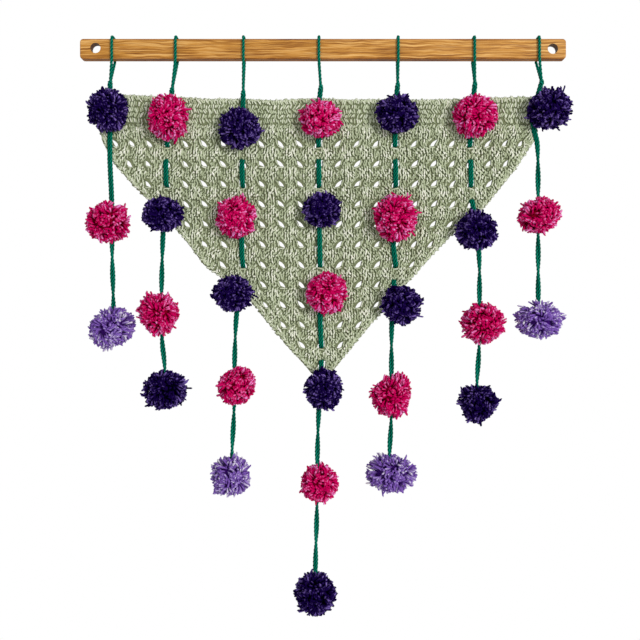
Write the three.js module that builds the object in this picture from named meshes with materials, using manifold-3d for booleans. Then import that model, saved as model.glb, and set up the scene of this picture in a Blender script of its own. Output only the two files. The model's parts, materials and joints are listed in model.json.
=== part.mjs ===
// A pom pom wall hanging: a crocheted triangle and thirty pompoms on seven cords, hung from a wooden bar.
// Millimetres. +X is to the viewer's right, +Y points away from the viewer and +Z is up.
// The origin is the middle of the bar's underside.

import * as THREE from 'three';
import * as BufferGeometryUtils from 'three/addons/utils/BufferGeometryUtils.js';
import Module from 'manifold-3d';

const wasm = await Module();
wasm.setup();

// The bar
const BAR = { length: 457.2, height: 19, depth: 9.5, endRadius: 3.3, ease: 1.2, cornerSteps: 4 };
const HOLES = [
  { x: -213.8, z: 10.2, radius: 4.8 },
  { x: 216, z: 9.5, radius: 4.8 },
];
const HOLE_SIDES = 16;
// Places along the underside where its long face is parted, so that each of its two seats has its own face.
const SEAT_BREAKS = [-30, 50];

// The crocheted triangle: its gaps stand in straight columns, counted from the spine, and in rows.
const GAP_ROWS = 11;
const COLUMN_PITCH = 18.1;
const ROW_PITCH = 19;
const FIRST_ROW_Z = -79.1;
const SPINE = { x: -4.2, leanPerRow: 0.25 };
const EDGE_AT = 11.8;
const EDGE_DRAW_POWER = 5;
const RIDGE_ROW = -0.94;
const HEADER_MIDDLE_ROW = -1.57;
const TOP_ROW = -2.2;
const SHOULDER = { row: -0.4, middleColumn: GAP_ROWS + 0.42, middleRow: -0.3 };
const TIP_ROW = GAP_ROWS + 0.75;
const RIDGE_Z = FIRST_ROW_Z - RIDGE_ROW * ROW_PITCH;
// How far below each gap the edging dips in and bulges out, in rows.
const SCALLOP = { valley: 0.4, bulge: 0.9 };
// The two ends of a cluster's ridge, as shares of the way across its four gaps. Those of a row's last
// cluster are counted inwards and downwards from the row's last gap.
const RIDGE_ENDS = { low: 0.68, high: 0.32 };
const LAST_RIDGE_ENDS = { low: { inwards: 0.12, down: 0.88 }, high: { inwards: 0.62, down: 0.38 } };
const GAP = { halfWide: 3.3, halfTall: 3.7 };
// A gap that a cord goes through is worked wider by it.
const THREADED_GAP = { halfWide: 4.5, halfTall: 5 };
const CLOTH_HALF = 1.1;
const CLUSTER_RISE = 0.7;
const HEADER_RISE = 0.5;
const EDGE_BULGE = 1.3;
// How far the cloth reaches from its spine to each side, row by row.
const REACH = [
  { row: -2.2, left: 209, right: 211 },
  { row: -1, left: 207.5, right: 207.5 },
  { row: 0, left: 202, right: 201 },
  { row: 1, left: 192.5, right: 188.4 },
  { row: 2, left: 176, right: 173.5 },
  { row: 3, left: 157, right: 158 },
  { row: 4, left: 138.4, right: 134.5 },
  { row: 5, left: 123.4, right: 115 },
  { row: 6, left: 109.5, right: 97.1 },
  { row: 7, left: 84.2, right: 79.5 },
  { row: 8, left: 61.9, right: 63.3 },
  { row: 9, left: 47.8, right: 45.7 },
  { row: 10, left: 32.2, right: 29.3 },
  { row: 11, left: 15.3, right: 14.6 },
  { row: 12, left: 0, right: 0 },
];
// The top edge droops between the cords that carry it.
const TOP_EDGE = [
  { x: -215, z: -33 },
  { x: -149, z: -34.7 },
  { x: -110, z: -37.6 },
  { x: -75, z: -36.9 },
  { x: -42, z: -39 },
  { x: -8, z: -36.1 },
  { x: 28, z: -38.5 },
  { x: 71, z: -37.1 },
  { x: 102, z: -38.5 },
  { x: 144, z: -36.6 },
  { x: 207, z: -35.3 },
];
// Soft waves across the cloth, one for each space between two cords, and the curl of its two slanting edges.
const WAVE = { height: 1.3, pitch: 72, dieAway: 0.5, over: 263 };
const CURL = { left: 2.2, right: 1.4, width: 22 };

// The cords: two strands side by side, and one strand round the bar above the knot.
const STRAND_RADIUS = 1.05;
const PAIR_HALF_WIDE = 2.1;
const PAIR_WAIST = 0.6;
const LOOP = { radius: 1.3, sides: 8, bend: 2.4, bendSteps: 2 };
const CLEARANCE = 0.3;
const CLEAR_OF_CLOTH = 0.4;
const KNOT = { radius: 3.1, y: -4, squash: [1.05, 0.95, 1.15] };
const HANG_Y = -2;
const BESIDE_CLOTH = 3.5;
const THROUGH_HALF = 1.6;
const SLOT = { wide: 5.2, tall: 4.8 };
const CORD_END_BELOW_MIDDLE = 4;

// The pompoms: sizes of the body and its longer locks are shares of the pompom's half size.
const BODY = { share: 0.87, lump: 0.05, detail: 2, depthShare: 0.97 };
const LOCKS = { reach: [0.99, 1.08], lean: 0.12 };
const RIM_LOCKS = { count: 7, jitter: 0.6, forward: 0.5 };
const FACE_LOCKS = { count: 3, spread: 0.6 };
const SUNK_ON_CLOTH = 9;
const FREE_POMPOM_Y = -4;
const BACK_LIMIT = 13;
// The room for the cord in a pompom: how far past the pompom it is looked for, and at how many points.
const CHANNEL = { clearance: 0.35, past: 2, pointsPerStretch: 40 };

const COLOURS = {
  oak: { color: 0xc98d48, roughness: 0.5 },
  sage: { color: 0xb0ba98, roughness: 0.95 },
  green: { color: 0x006e50, roughness: 0.9 },
  magenta: { color: 0xbe1464, roughness: 0.95 },
  purple: { color: 0x32146e, roughness: 0.95 },
  lavender: { color: 0x8269b4, roughness: 0.95 },
};

// Each cord from its knot down to its last pompom. "in" goes through the cloth to the back and "out" comes
// to the front again: at a gap, counted in columns from the spine and in rows, or at a place x, z.
// "over" is in front of the cloth, and "hang" is free of it.
const CORDS = [
  {
    barX: -198,
    knot: { x: -200.1, z: -22.8 },
    route: [
      { lay: 'over', x: -200, z: -40 },
      { lay: 'in', x: -199.6, z: -51 },
      { lay: 'out', x: -199.8, z: -65 },
      { lay: 'over', x: -200, z: -78 },
      { lay: 'over', x: -199.9, z: -88 },
      { lay: 'over', x: -199.8, z: -100 },
      { lay: 'hang', x: -199, z: -131 },
      { lay: 'hang', x: -199, z: -176 },
      { lay: 'hang', x: -197.4, z: -230 },
    ],
  },
  {
    barX: -138.3,
    knot: { x: -141.9, z: -29.1 },
    route: [
      { lay: 'over', x: -143.5, z: -38 },
      { lay: 'in', column: -8, row: 0 },
      { lay: 'out', column: -8, row: 1 },
      { lay: 'in', column: -8, row: 2 },
      { lay: 'out', column: -8, row: 3 },
      { lay: 'over', x: -149.5, z: -153 },
      { lay: 'hang', x: -151, z: -168 },
      { lay: 'hang', x: -152.3, z: -215.5 },
      { lay: 'hang', x: -152.3, z: -262.5 },
      { lay: 'hang', x: -148.8, z: -289 },
    ],
  },
  {
    barX: -74.6,
    knot: { x: -75, z: -32.1 },
    route: [
      { lay: 'over', x: -75.3, z: -41 },
      { lay: 'in', column: -4, row: 0 },
      { lay: 'out', column: -4, row: 1 },
      { lay: 'in', column: -4, row: 2 },
      { lay: 'out', column: -4, row: 3 },
      { lay: 'over', x: -76.7, z: -173 },
      { lay: 'in', column: -4, row: 6 },
      { lay: 'out', column: -4, row: 7 },
      { lay: 'over', x: -79.5, z: -228 },
      { lay: 'hang', x: -82, z: -243 },
      { lay: 'hang', x: -83.5, z: -286 },
      { lay: 'hang', x: -83.5, z: -329 },
      { lay: 'hang', x: -85.9, z: -369 },
    ],
  },
  {
    barX: -3.8,
    knot: { x: -2, z: -27.1 },
    route: [
      { lay: 'over', x: -3.6, z: -40 },
      { lay: 'in', column: 0, row: 0 },
      { lay: 'out', column: 0, row: 1 },
      { lay: 'in', column: 0, row: 2 },
      { lay: 'out', column: 0, row: 3 },
      { lay: 'over', x: -3.3, z: -162 },
      { lay: 'in', column: 0, row: 6 },
      { lay: 'out', column: 0, row: 7 },
      { lay: 'over', x: -2.8, z: -243.5 },
      { lay: 'in', column: 0, row: 10 },
      { lay: 'out', column: 0, row: 11 },
      { lay: 'over', x: -2.5, z: -306 },
      { lay: 'hang', x: -4.2, z: -333 },
      { lay: 'hang', x: -5.5, z: -376.5 },
      { lay: 'hang', x: -5.5, z: -421 },
      { lay: 'hang', x: -7.3, z: -478 },
    ],
  },
  {
    barX: 70.7,
    knot: { x: 70.3, z: -24.7 },
    route: [
      { lay: 'over', x: 68.5, z: -40 },
      { lay: 'in', column: 4, row: 0 },
      { lay: 'out', column: 4, row: 1 },
      { lay: 'in', column: 4, row: 2 },
      { lay: 'out', column: 4, row: 3 },
      { lay: 'over', x: 65.6, z: -172 },
      { lay: 'in', column: 4, row: 6 },
      { lay: 'out', column: 4, row: 7 },
      { lay: 'over', x: 65.3, z: -234 },
      { lay: 'hang', x: 64.6, z: -253 },
      { lay: 'hang', x: 64.5, z: -292 },
      { lay: 'hang', x: 64.5, z: -341 },
      { lay: 'hang', x: 62.6, z: -368.5 },
    ],
  },
  {
    barX: 142.3,
    knot: { x: 142.9, z: -23.8 },
    route: [
      { lay: 'over', x: 141.5, z: -38 },
      { lay: 'in', column: 8, row: 0 },
      { lay: 'out', column: 8, row: 1 },
      { lay: 'in', column: 8, row: 2 },
      { lay: 'out', column: 8, row: 3 },
      { lay: 'over', x: 143.4, z: -152 },
      { lay: 'hang', x: 147.6, z: -184 },
      { lay: 'hang', x: 147.5, z: -225 },
      { lay: 'hang', x: 147.5, z: -271 },
      { lay: 'hang', x: 145, z: -302 },
    ],
  },
  {
    barX: 203,
    knot: { x: 205.6, z: -21.9 },
    route: [
      { lay: 'over', x: 201, z: -38 },
      { lay: 'in', x: 199, z: -49 },
      { lay: 'out', x: 196.8, z: -61 },
      { lay: 'over', x: 199.2, z: -70 },
      { lay: 'hang', x: 202.6, z: -80 },
      { lay: 'hang', x: 202.8, z: -126 },
      { lay: 'hang', x: 202.8, z: -169 },
      { lay: 'hang', x: 202.9, z: -225 },
    ],
  },
];

// The pompoms of each cord, from the top: middle, size across and down over the tips, lean in degrees.
const POMPOMS = [
  [
    { x: -200.3, z: -50.1, wide: 39.6, tall: 45.6, lean: 0, colour: 'purple', onCloth: true },
    { x: -201.7, z: -153.5, wide: 45.7, tall: 40.4, lean: 0, colour: 'magenta', onCloth: false },
    { x: -198.6, z: -252.9, wide: 45.7, tall: 41, lean: 18, colour: 'lavender', onCloth: false },
  ],
  [
    { x: -144.3, z: -56.4, wide: 41.7, tall: 47.4, lean: 0, colour: 'magenta', onCloth: true },
    { x: -149.5, z: -147.1, wide: 43.5, tall: 34.7, lean: -4, colour: 'purple', onCloth: true },
    { x: -154.6, z: -239, wide: 41, tall: 43.2, lean: 0, colour: 'magenta', onCloth: false },
    { x: -148.8, z: -311.2, wide: 46.1, tall: 40.1, lean: 8, colour: 'purple', onCloth: false },
  ],
  [
    { x: -77.9, z: -66.7, wide: 43.1, tall: 40.7, lean: 0, colour: 'purple', onCloth: true },
    { x: -81.2, z: -149.2, wide: 40.4, tall: 44, lean: 0, colour: 'magenta', onCloth: true },
    { x: -83.7, z: -220.9, wide: 40.9, tall: 36.3, lean: 0, colour: 'purple', onCloth: true },
    { x: -80.8, z: -307.2, wide: 39.1, tall: 38.5, lean: 22, colour: 'magenta', onCloth: false },
    { x: -86.5, z: -391.8, wide: 41, tall: 41.7, lean: 12, colour: 'lavender', onCloth: false },
  ],
  [
    { x: -2.3, z: -58.1, wide: 43.3, tall: 37.2, lean: 0, colour: 'magenta', onCloth: true },
    { x: -1, z: -142.7, wide: 39.1, tall: 35.3, lean: 0, colour: 'purple', onCloth: true },
    { x: 3.5, z: -220.9, wide: 41.5, tall: 42.8, lean: -14, colour: 'magenta', onCloth: true },
    { x: 0.8, z: -310, wide: 37.8, tall: 42.5, lean: 0, colour: 'purple', onCloth: true },
    { x: -3.4, z: -398.6, wide: 38.3, tall: 40, lean: 0, colour: 'magenta', onCloth: false },
    { x: -7, z: -502.5, wide: 41.3, tall: 44.2, lean: 0, colour: 'purple', onCloth: false },
  ],
  [
    { x: 69.3, z: -53.5, wide: 44.4, tall: 38.5, lean: -8, colour: 'purple', onCloth: true },
    { x: 67.4, z: -150.3, wide: 44.2, tall: 48.8, lean: 0, colour: 'magenta', onCloth: true },
    { x: 73, z: -231, wide: 40.9, tall: 40, lean: 0, colour: 'purple', onCloth: true },
    { x: 64.6, z: -316.6, wide: 40.3, tall: 46.1, lean: -12, colour: 'magenta', onCloth: false },
    { x: 63.7, z: -389.7, wide: 51.7, tall: 39.5, lean: -6, colour: 'lavender', onCloth: false },
  ],
  [
    { x: 142.2, z: -54.8, wide: 44.6, tall: 43.7, lean: 0, colour: 'magenta', onCloth: true },
    { x: 143, z: -161.9, wide: 42.5, tall: 39.8, lean: 0, colour: 'purple', onCloth: true },
    { x: 150.4, z: -248.2, wide: 44.7, tall: 42, lean: 0, colour: 'magenta', onCloth: false },
    { x: 145.7, z: -323.4, wide: 39.5, tall: 39.5, lean: 0, colour: 'purple', onCloth: false },
  ],
  [
    { x: 210.8, z: -48.8, wide: 45.3, tall: 40.9, lean: 10, colour: 'purple', onCloth: true },
    { x: 202.6, z: -147.3, wide: 41.2, tall: 38.3, lean: 8, colour: 'magenta', onCloth: false },
    { x: 202.5, z: -245.6, wide: 47.9, tall: 37.2, lean: 0, colour: 'lavender', onCloth: false },
  ],
];

// The value of a table's column at a place between two of its rows, or at its first or last row.
function between(table, key, place, value) {
  const last = table.length - 1;
  if (place <= table[0][key]) return table[0][value];
  if (place >= table[last][key]) return table[last][value];
  const i = table.findIndex((row) => row[key] > place) - 1;
  const share = (place - table[i][key]) / (table[i + 1][key] - table[i][key]);
  return THREE.MathUtils.lerp(table[i][value], table[i + 1][value], share);
}

// A number from low to high by chance, the same in each run once the row of numbers has been seeded.
function chance(low, high) {
  return THREE.MathUtils.lerp(low, high, THREE.MathUtils.seededRandom());
}

function spineX(row) {
  return SPINE.x + SPINE.leanPerRow * Math.max(row, 0);
}

function reachOf(side, row) {
  return between(REACH, 'row', row, side < 0 ? 'left' : 'right');
}

// Where a place of the pattern lies on the hung cloth. Columns keep their pitch near the spine and are
// drawn in or let out towards the slanting edges.
function place(column, row) {
  const side = Math.sign(column) || 1;
  const edge = EDGE_AT - Math.max(row, 0);
  const slack = reachOf(side, row) - COLUMN_PITCH * edge;
  const share = Math.abs(column) / edge;
  const x = spineX(row) + side * (COLUMN_PITCH * Math.abs(column) + slack * share ** EDGE_DRAW_POWER);
  if (row >= RIDGE_ROW) return { x, z: FIRST_ROW_Z - ROW_PITCH * row };
  const up = (RIDGE_ROW - row) / (RIDGE_ROW - TOP_ROW);
  return { x, z: THREE.MathUtils.lerp(RIDGE_Z, between(TOP_EDGE, 'x', x, 'z'), up) };
}

function isThreaded(column, row) {
  return CORDS.some(({ route }) => route.some((stop) => stop.column === column && stop.row === row));
}

// The depth of the cloth's middle at a place on it.
function drape(x, z) {
  const row = (FIRST_ROW_Z - z) / ROW_PITCH;
  const side = x < spineX(row) ? -1 : 1;
  const toEdge = reachOf(side, row) - Math.abs(x - spineX(row));
  const down = THREE.MathUtils.clamp((FIRST_ROW_Z - z) / WAVE.over, 0, 1);
  const wave = Math.cos((2 * Math.PI * (x - SPINE.x)) / WAVE.pitch);
  const curl = 1 - THREE.MathUtils.smoothstep(toEdge, 0, CURL.width);
  return WAVE.height * (1 - WAVE.dieAway * down) * wave - curl * (side < 0 ? CURL.left : CURL.right);
}

// A closed sheet from flat triangles: each point gets a front and a back, and each open edge is closed.
function sheetGeometry(points, triangles) {
  const positions = [];
  for (const face of [-1, 1]) {
    for (const { x, z, rise } of points) {
      positions.push(x, drape(x, z) + face * (CLOTH_HALF + rise), z);
    }
  }
  const count = points.length;
  const index = [];
  const edges = new Set();
  for (const [a, b, c] of triangles) {
    index.push(a, b, c, c + count, b + count, a + count);
    for (const edge of [[a, b], [b, c], [c, a]]) {
      edges.add(edge.join());
    }
  }
  for (const edge of edges) {
    const [a, b] = edge.split(',').map(Number);
    if (!edges.has([b, a].join())) {
      index.push(b, a, a + count, b, a + count, b + count);
    }
  }
  const geometry = new THREE.BufferGeometry();
  geometry.setAttribute('position', new THREE.Float32BufferAttribute(positions, 3));
  geometry.setIndex(index);
  return geometry;
}

// The crocheted triangle: a diamond gap at each place of the pattern, a raised cluster of stitches between
// each four gaps, an edging along the two slanting sides and a ridged header along the top.
function clothGeometry() {
  const points = [];
  const triangles = [];
  const known = new Map();

  const add = (x, z, rise) => points.push({ x, z, rise }) - 1;
  const once = (key, make) => {
    if (!known.has(key)) known.set(key, make());
    return known.get(key);
  };
  // One of the four corners of a gap.
  const corner = (column, row, dx, dz) => once(`gap ${column} ${row} ${dx} ${dz}`, () => {
    const { x, z } = place(column, row);
    const { halfWide, halfTall } = isThreaded(column, row) ? THREADED_GAP : GAP;
    return add(x + dx * halfWide, z + dz * halfTall, 0);
  });
  const onPattern = (column, row, rise) => once(`at ${column} ${row}`, () => {
    const { x, z } = place(column, row);
    return add(x, z, rise);
  });
  // A point of the scalloped edging, let out to the side by a little.
  const onEdge = (side, row, out) => once(`edge ${side} ${row}`, () => {
    const { x, z } = place(side * (EDGE_AT - row), row);
    return add(x + side * out, z - out, 0);
  });

  for (const side of [-1, 1]) {
    const face = (a, b, c) => triangles.push(side < 0 ? [a, b, c] : [a, c, b]);
    const gap = (steps, row) => ({
      up: corner(side * steps, row, 0, 1),
      down: corner(side * steps, row, 0, -1),
      inner: corner(side * steps, row, -side, 0),
      outer: corner(side * steps, row, side, 0),
    });
    const fan = (ring, middle) => {
      ring.forEach((at, i) => face(middle, at, ring[(i + 1) % ring.length]));
    };
    // Two raised points with a ridge between them: one meets the ring up to a turn, the other after it.
    const ridge = (ring, turn, first, second) => {
      ring.forEach((at, i) => {
        const next = ring[(i + 1) % ring.length];
        face(i <= turn ? first : second, at, next);
        if (i === turn) face(first, next, second);
      });
      face(second, ring[0], first);
    };
    const raised = (steps, row, rise = CLUSTER_RISE) => {
      const { x, z } = place(side * steps, row);
      return add(x, z, rise);
    };

    for (let row = 0; row < GAP_ROWS; row++) {
      const last = GAP_ROWS - row;
      for (let steps = 0; steps < last - 1; steps++) {
        const a = gap(steps + 1, row);
        const b = gap(steps, row);
        const c = gap(steps + 1, row + 1);
        const d = gap(steps, row + 1);
        const ring = [a.down, c.up, c.inner, d.outer, d.up, b.down, b.outer, a.inner];
        const low = raised(steps + RIDGE_ENDS.low, row + RIDGE_ENDS.low);
        const high = raised(steps + RIDGE_ENDS.high, row + RIDGE_ENDS.high);
        ridge(ring, 3, low, high);
      }
      const a = gap(last, row);
      const b = gap(last - 1, row);
      const c = gap(last - 1, row + 1);
      const valley = onEdge(side, row + SCALLOP.valley, 0);
      const bulge = onEdge(side, row + SCALLOP.bulge, EDGE_BULGE);
      const nextValley = onEdge(side, row + 1 + SCALLOP.valley, 0);
      const ring = [a.down, valley, bulge, nextValley, c.outer, c.up, b.down, b.outer, a.inner];
      const lowEnd = LAST_RIDGE_ENDS.low;
      const highEnd = LAST_RIDGE_ENDS.high;
      const low = raised(last - lowEnd.inwards, row + lowEnd.down);
      const high = raised(last - highEnd.inwards, row + highEnd.down);
      ridge(ring, 4, low, high);
      face(a.outer, valley, a.down);
    }

    // The point of the triangle
    const tip = gap(0, GAP_ROWS);
    const lastValley = onEdge(side, GAP_ROWS + SCALLOP.valley, 0);
    const end = onPattern(0, TIP_ROW, 0);
    face(tip.outer, lastValley, tip.down);
    face(tip.down, lastValley, end);

    // The stitches between the first row of gaps and the ridge, then the header
    for (let steps = 0; steps < GAP_ROWS; steps++) {
      const a = gap(steps + 1, 0);
      const b = gap(steps, 0);
      const ridgeA = onPattern(side * (steps + 1), RIDGE_ROW, 0);
      const ridgeB = onPattern(side * steps, RIDGE_ROW, 0);
      fan([a.up, a.inner, b.outer, b.up, ridgeB, ridgeA], raised(steps + 0.5, RIDGE_ROW / 2));
    }
    const outside = gap(GAP_ROWS, 0);
    const outsideValley = onEdge(side, SCALLOP.valley, 0);
    const shoulder = onPattern(side * EDGE_AT, SHOULDER.row, 0);
    const ridgeEnd = onPattern(side * EDGE_AT, RIDGE_ROW, 0);
    const ridgeLast = onPattern(side * GAP_ROWS, RIDGE_ROW, 0);
    const patch = [outside.outer, outside.up, ridgeLast, ridgeEnd, shoulder, outsideValley];
    fan(patch, raised(SHOULDER.middleColumn, SHOULDER.middleRow, CLUSTER_RISE / 2));

    const headerColumns = Array.from({ length: GAP_ROWS + 1 }, (_, steps) => steps).concat(EDGE_AT);
    for (let i = 0; i + 1 < headerColumns.length; i++) {
      const near = side * headerColumns[i];
      const far = side * headerColumns[i + 1];
      const lines = [
        [RIDGE_ROW, 0],
        [HEADER_MIDDLE_ROW, HEADER_RISE],
        [TOP_ROW, 0],
      ];
      for (let line = 0; line < 2; line++) {
        const farLow = onPattern(far, ...lines[line]);
        const nearLow = onPattern(near, ...lines[line]);
        const nearHigh = onPattern(near, ...lines[line + 1]);
        const farHigh = onPattern(far, ...lines[line + 1]);
        face(farLow, nearLow, nearHigh);
        face(farLow, nearHigh, farHigh);
      }
    }
  }
  return sheetGeometry(points, triangles);
}

function welded(geometry) {
  const copy = geometry.clone();
  copy.deleteAttribute('normal');
  copy.deleteAttribute('uv');
  return BufferGeometryUtils.mergeVertices(copy, 1e-4);
}

function toSolid(geometry) {
  const closed = welded(geometry);
  return new wasm.Manifold(new wasm.Mesh({
    numProp: 3,
    vertProperties: new Float32Array(closed.attributes.position.array),
    triVerts: new Uint32Array(closed.index.array),
  }));
}

function toGeometry(solid) {
  const mesh = solid.getMesh();
  const geometry = new THREE.BufferGeometry();
  geometry.setAttribute('position', new THREE.BufferAttribute(new Float32Array(mesh.vertProperties), 3));
  geometry.setIndex(new THREE.BufferAttribute(new Uint32Array(mesh.triVerts), 1));
  return geometry;
}

// A box from its lowest corner to its highest.
function boxGeometry(low, high) {
  const size = new THREE.Vector3().subVectors(high, low);
  const middle = new THREE.Vector3().addVectors(low, high).multiplyScalar(0.5);
  return new THREE.BoxGeometry(size.x, size.y, size.z).translate(middle.x, middle.y, middle.z);
}

function arcPoints(x, y, radius, from, to, steps) {
  return Array.from({ length: steps + 1 }, (_, i) => {
    const angle = THREE.MathUtils.lerp(from, to, i / steps);
    return new THREE.Vector2(x + radius * Math.cos(angle), y + radius * Math.sin(angle));
  });
}

function barGeometry() {
  const { length, height, depth, endRadius, ease, cornerSteps } = BAR;
  const right = length / 2 - endRadius;
  const top = height - endRadius;
  const quarter = Math.PI / 2;
  const outline = [
    ...SEAT_BREAKS.map((x) => new THREE.Vector2(x, 0)),
    ...arcPoints(right, endRadius, endRadius, -quarter, 0, cornerSteps),
    ...arcPoints(right, top, endRadius, 0, quarter, cornerSteps),
    ...arcPoints(-right, top, endRadius, quarter, 2 * quarter, cornerSteps),
    ...arcPoints(-right, endRadius, endRadius, 2 * quarter, 3 * quarter, cornerSteps),
  ];
  const shape = new THREE.Shape(outline);
  for (const { x, z, radius } of HOLES) {
    const round = arcPoints(x, z, radius, 0, -4 * quarter, HOLE_SIDES).slice(0, -1);
    shape.holes.push(new THREE.Path(round));
  }
  const geometry = new THREE.ExtrudeGeometry(shape, {
    depth: depth - 2 * ease,
    steps: 1,
    bevelThickness: ease,
    bevelSize: ease,
    bevelOffset: -ease,
    bevelSegments: 1,
  });
  return geometry.rotateX(Math.PI / 2).translate(0, depth / 2 - ease, 0);
}

// A path of straight stretches whose steps fall on its own points.
class Route extends THREE.Curve {
  constructor(stops) {
    super();
    this.stops = stops;
  }

  getPoint(t, target = new THREE.Vector3()) {
    const along = t * (this.stops.length - 1);
    const i = Math.min(Math.floor(along), this.stops.length - 2);
    return target.lerpVectors(this.stops[i], this.stops[i + 1], along - i);
  }

  getUtoTmapping(u) {
    return u;
  }

  // The section's width stays level, so the two strands lie side by side all the way down.
  computeFrenetFrames(steps) {
    const tangents = Array.from({ length: steps + 1 }, (_, i) => this.getTangentAt(i / steps));
    const normals = tangents.map((tangent) => (
      new THREE.Vector3(1, 0, 0).addScaledVector(tangent, -tangent.x).normalize()
    ));
    const binormals = tangents.map((tangent, i) => new THREE.Vector3().crossVectors(tangent, normals[i]));
    return { tangents, normals, binormals };
  }
}

function tubeGeometry(section, stops) {
  const shape = new THREE.Shape(section);
  return new THREE.ExtrudeGeometry(shape, {
    extrudePath: new Route(stops),
    steps: stops.length - 1,
    bevelEnabled: false,
  });
}

// The stops of one cord below its knot, each a point in space.
function cordStops({ knot, route }, pompoms) {
  const lastPompom = pompoms[pompoms.length - 1];
  const stops = [new THREE.Vector3(knot.x, KNOT.y, knot.z)];
  const over = (x, z) => stops.push(new THREE.Vector3(x, drape(x, z) - BESIDE_CLOTH, z));
  const under = (x, z) => stops.push(new THREE.Vector3(x, drape(x, z) + BESIDE_CLOTH, z));
  for (const stop of route) {
    const { x, z } = 'row' in stop ? place(stop.column, stop.row) : stop;
    if (stop.lay === 'over') over(x, z);
    if (stop.lay === 'hang') stops.push(new THREE.Vector3(x, HANG_Y, z));
    if (stop.lay === 'in') {
      over(x, z + THROUGH_HALF);
      under(x, z - THROUGH_HALF);
    }
    if (stop.lay === 'out') {
      under(x, z + THROUGH_HALF);
      over(x, z - THROUGH_HALF);
    }
  }
  const last = stops[stops.length - 1];
  stops.push(new THREE.Vector3(last.x, HANG_Y, lastPompom.z - CORD_END_BELOW_MIDDLE));
  return stops;
}

// One strand up the front of the bar, over it and down its back, from the knot to the knot.
function loopStops({ barX, knot }) {
  const { radius, bend, bendSteps } = LOOP;
  const side = BAR.depth / 2 + CLEARANCE + radius;
  const top = BAR.height + CLEARANCE + radius;
  const profile = [
    new THREE.Vector2(-side, 0),
    ...arcPoints(bend - side, top - bend, bend, Math.PI, Math.PI / 2, bendSteps),
    ...arcPoints(side - bend, top - bend, bend, Math.PI / 2, 0, bendSteps),
    new THREE.Vector2(side, 0),
  ];
  const ends = new THREE.Vector3(knot.x, KNOT.y, knot.z);
  return [ends, ...profile.map((point) => new THREE.Vector3(barX, point.x, point.y)), ends.clone()];
}

function cordGeometry(cord, stops) {
  const pair = [
    [PAIR_HALF_WIDE, 0],
    [PAIR_HALF_WIDE / 2, STRAND_RADIUS],
    [0, PAIR_WAIST],
    [-PAIR_HALF_WIDE / 2, STRAND_RADIUS],
    [-PAIR_HALF_WIDE, 0],
    [-PAIR_HALF_WIDE / 2, -STRAND_RADIUS],
    [0, -PAIR_WAIST],
    [PAIR_HALF_WIDE / 2, -STRAND_RADIUS],
  ].map(([x, y]) => new THREE.Vector2(x, y));
  const single = arcPoints(0, 0, LOOP.radius, 0, 2 * Math.PI, LOOP.sides).slice(0, -1);
  const knot = new THREE.IcosahedronGeometry(KNOT.radius, 1).scale(...KNOT.squash);
  knot.translate(cord.knot.x, KNOT.y, cord.knot.z);
  const solid = toSolid(tubeGeometry(pair, stops))
    .add(toSolid(tubeGeometry(single, loopStops(cord))))
    .add(toSolid(knot));
  return toGeometry(solid);
}

// The directions in which a pompom's longer locks stand: round its rim and on its face.
function lockDirections() {
  const directions = [];
  for (let i = 0; i < RIM_LOCKS.count; i++) {
    const angle = (2 * Math.PI * (i + chance(0, RIM_LOCKS.jitter))) / RIM_LOCKS.count;
    directions.push(new THREE.Vector3(Math.cos(angle), -chance(0, RIM_LOCKS.forward), Math.sin(angle)));
  }
  for (let i = 0; i < FACE_LOCKS.count; i++) {
    const angle = (2 * Math.PI * (i + chance(0, 1))) / FACE_LOCKS.count;
    const { spread } = FACE_LOCKS;
    directions.push(new THREE.Vector3(spread * Math.cos(angle), -1, spread * Math.sin(angle)));
  }
  return directions.map((direction) => direction.normalize());
}

// A lumpy ball of cut yarn with three-sided locks, flat at the back where it lies on the cloth.
function pompomGeometry(pompom, seed) {
  THREE.MathUtils.seededRandom(seed);
  const ball = welded(new THREE.IcosahedronGeometry(1, BODY.detail));
  const corners = [];
  for (let i = 0; i < ball.attributes.position.count; i++) {
    const length = BODY.share + chance(-BODY.lump, BODY.lump);
    corners.push(new THREE.Vector3().fromBufferAttribute(ball.attributes.position, i).setLength(length));
  }
  const faces = [];
  for (let i = 0; i < ball.index.count; i += 3) {
    faces.push([0, 1, 2].map((j) => ball.index.getX(i + j)));
  }
  const middleOf = (face) => face.reduce((sum, i) => sum.add(corners[i]), new THREE.Vector3()).normalize();
  for (const direction of lockDirections()) {
    const nearness = faces.map((face) => (face.raised ? -1 : middleOf(face).dot(direction)));
    const chosen = nearness.indexOf(Math.max(...nearness));
    const [a, b, c] = faces[chosen];
    const tip = middleOf(faces[chosen]);
    tip.x += chance(-LOCKS.lean, LOCKS.lean);
    tip.z += chance(-LOCKS.lean, LOCKS.lean);
    tip.setLength(chance(...LOCKS.reach));
    const top = corners.push(tip) - 1;
    const sides = [[a, b, top], [b, c, top], [c, a, top]];
    sides.forEach((side) => {
      side.raised = true;
    });
    faces.splice(chosen, 1, ...sides);
  }

  const { x, z, wide, tall, lean, onCloth } = pompom;
  const middleY = onCloth ? backOn(x, z) - SUNK_ON_CLOTH : FREE_POMPOM_Y;
  const size = new THREE.Vector3(wide / 2, (BODY.depthShare * (wide + tall)) / 4, tall / 2);
  const upright = new THREE.Vector3(0, 1, 0);
  const positions = [];
  for (const point of corners) {
    point.multiply(size).applyAxisAngle(upright, THREE.MathUtils.degToRad(-lean));
    point.add(new THREE.Vector3(x, middleY, z));
    point.y = Math.min(point.y, onCloth ? backOn(point.x, point.z) : BACK_LIMIT);
    positions.push(point.x, point.y, point.z);
  }
  const geometry = new THREE.BufferGeometry();
  geometry.setAttribute('position', new THREE.Float32BufferAttribute(positions, 3));
  geometry.setIndex(faces.flatMap((face) => [face[0], face[1], face[2]]));
  return geometry;
}

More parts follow.
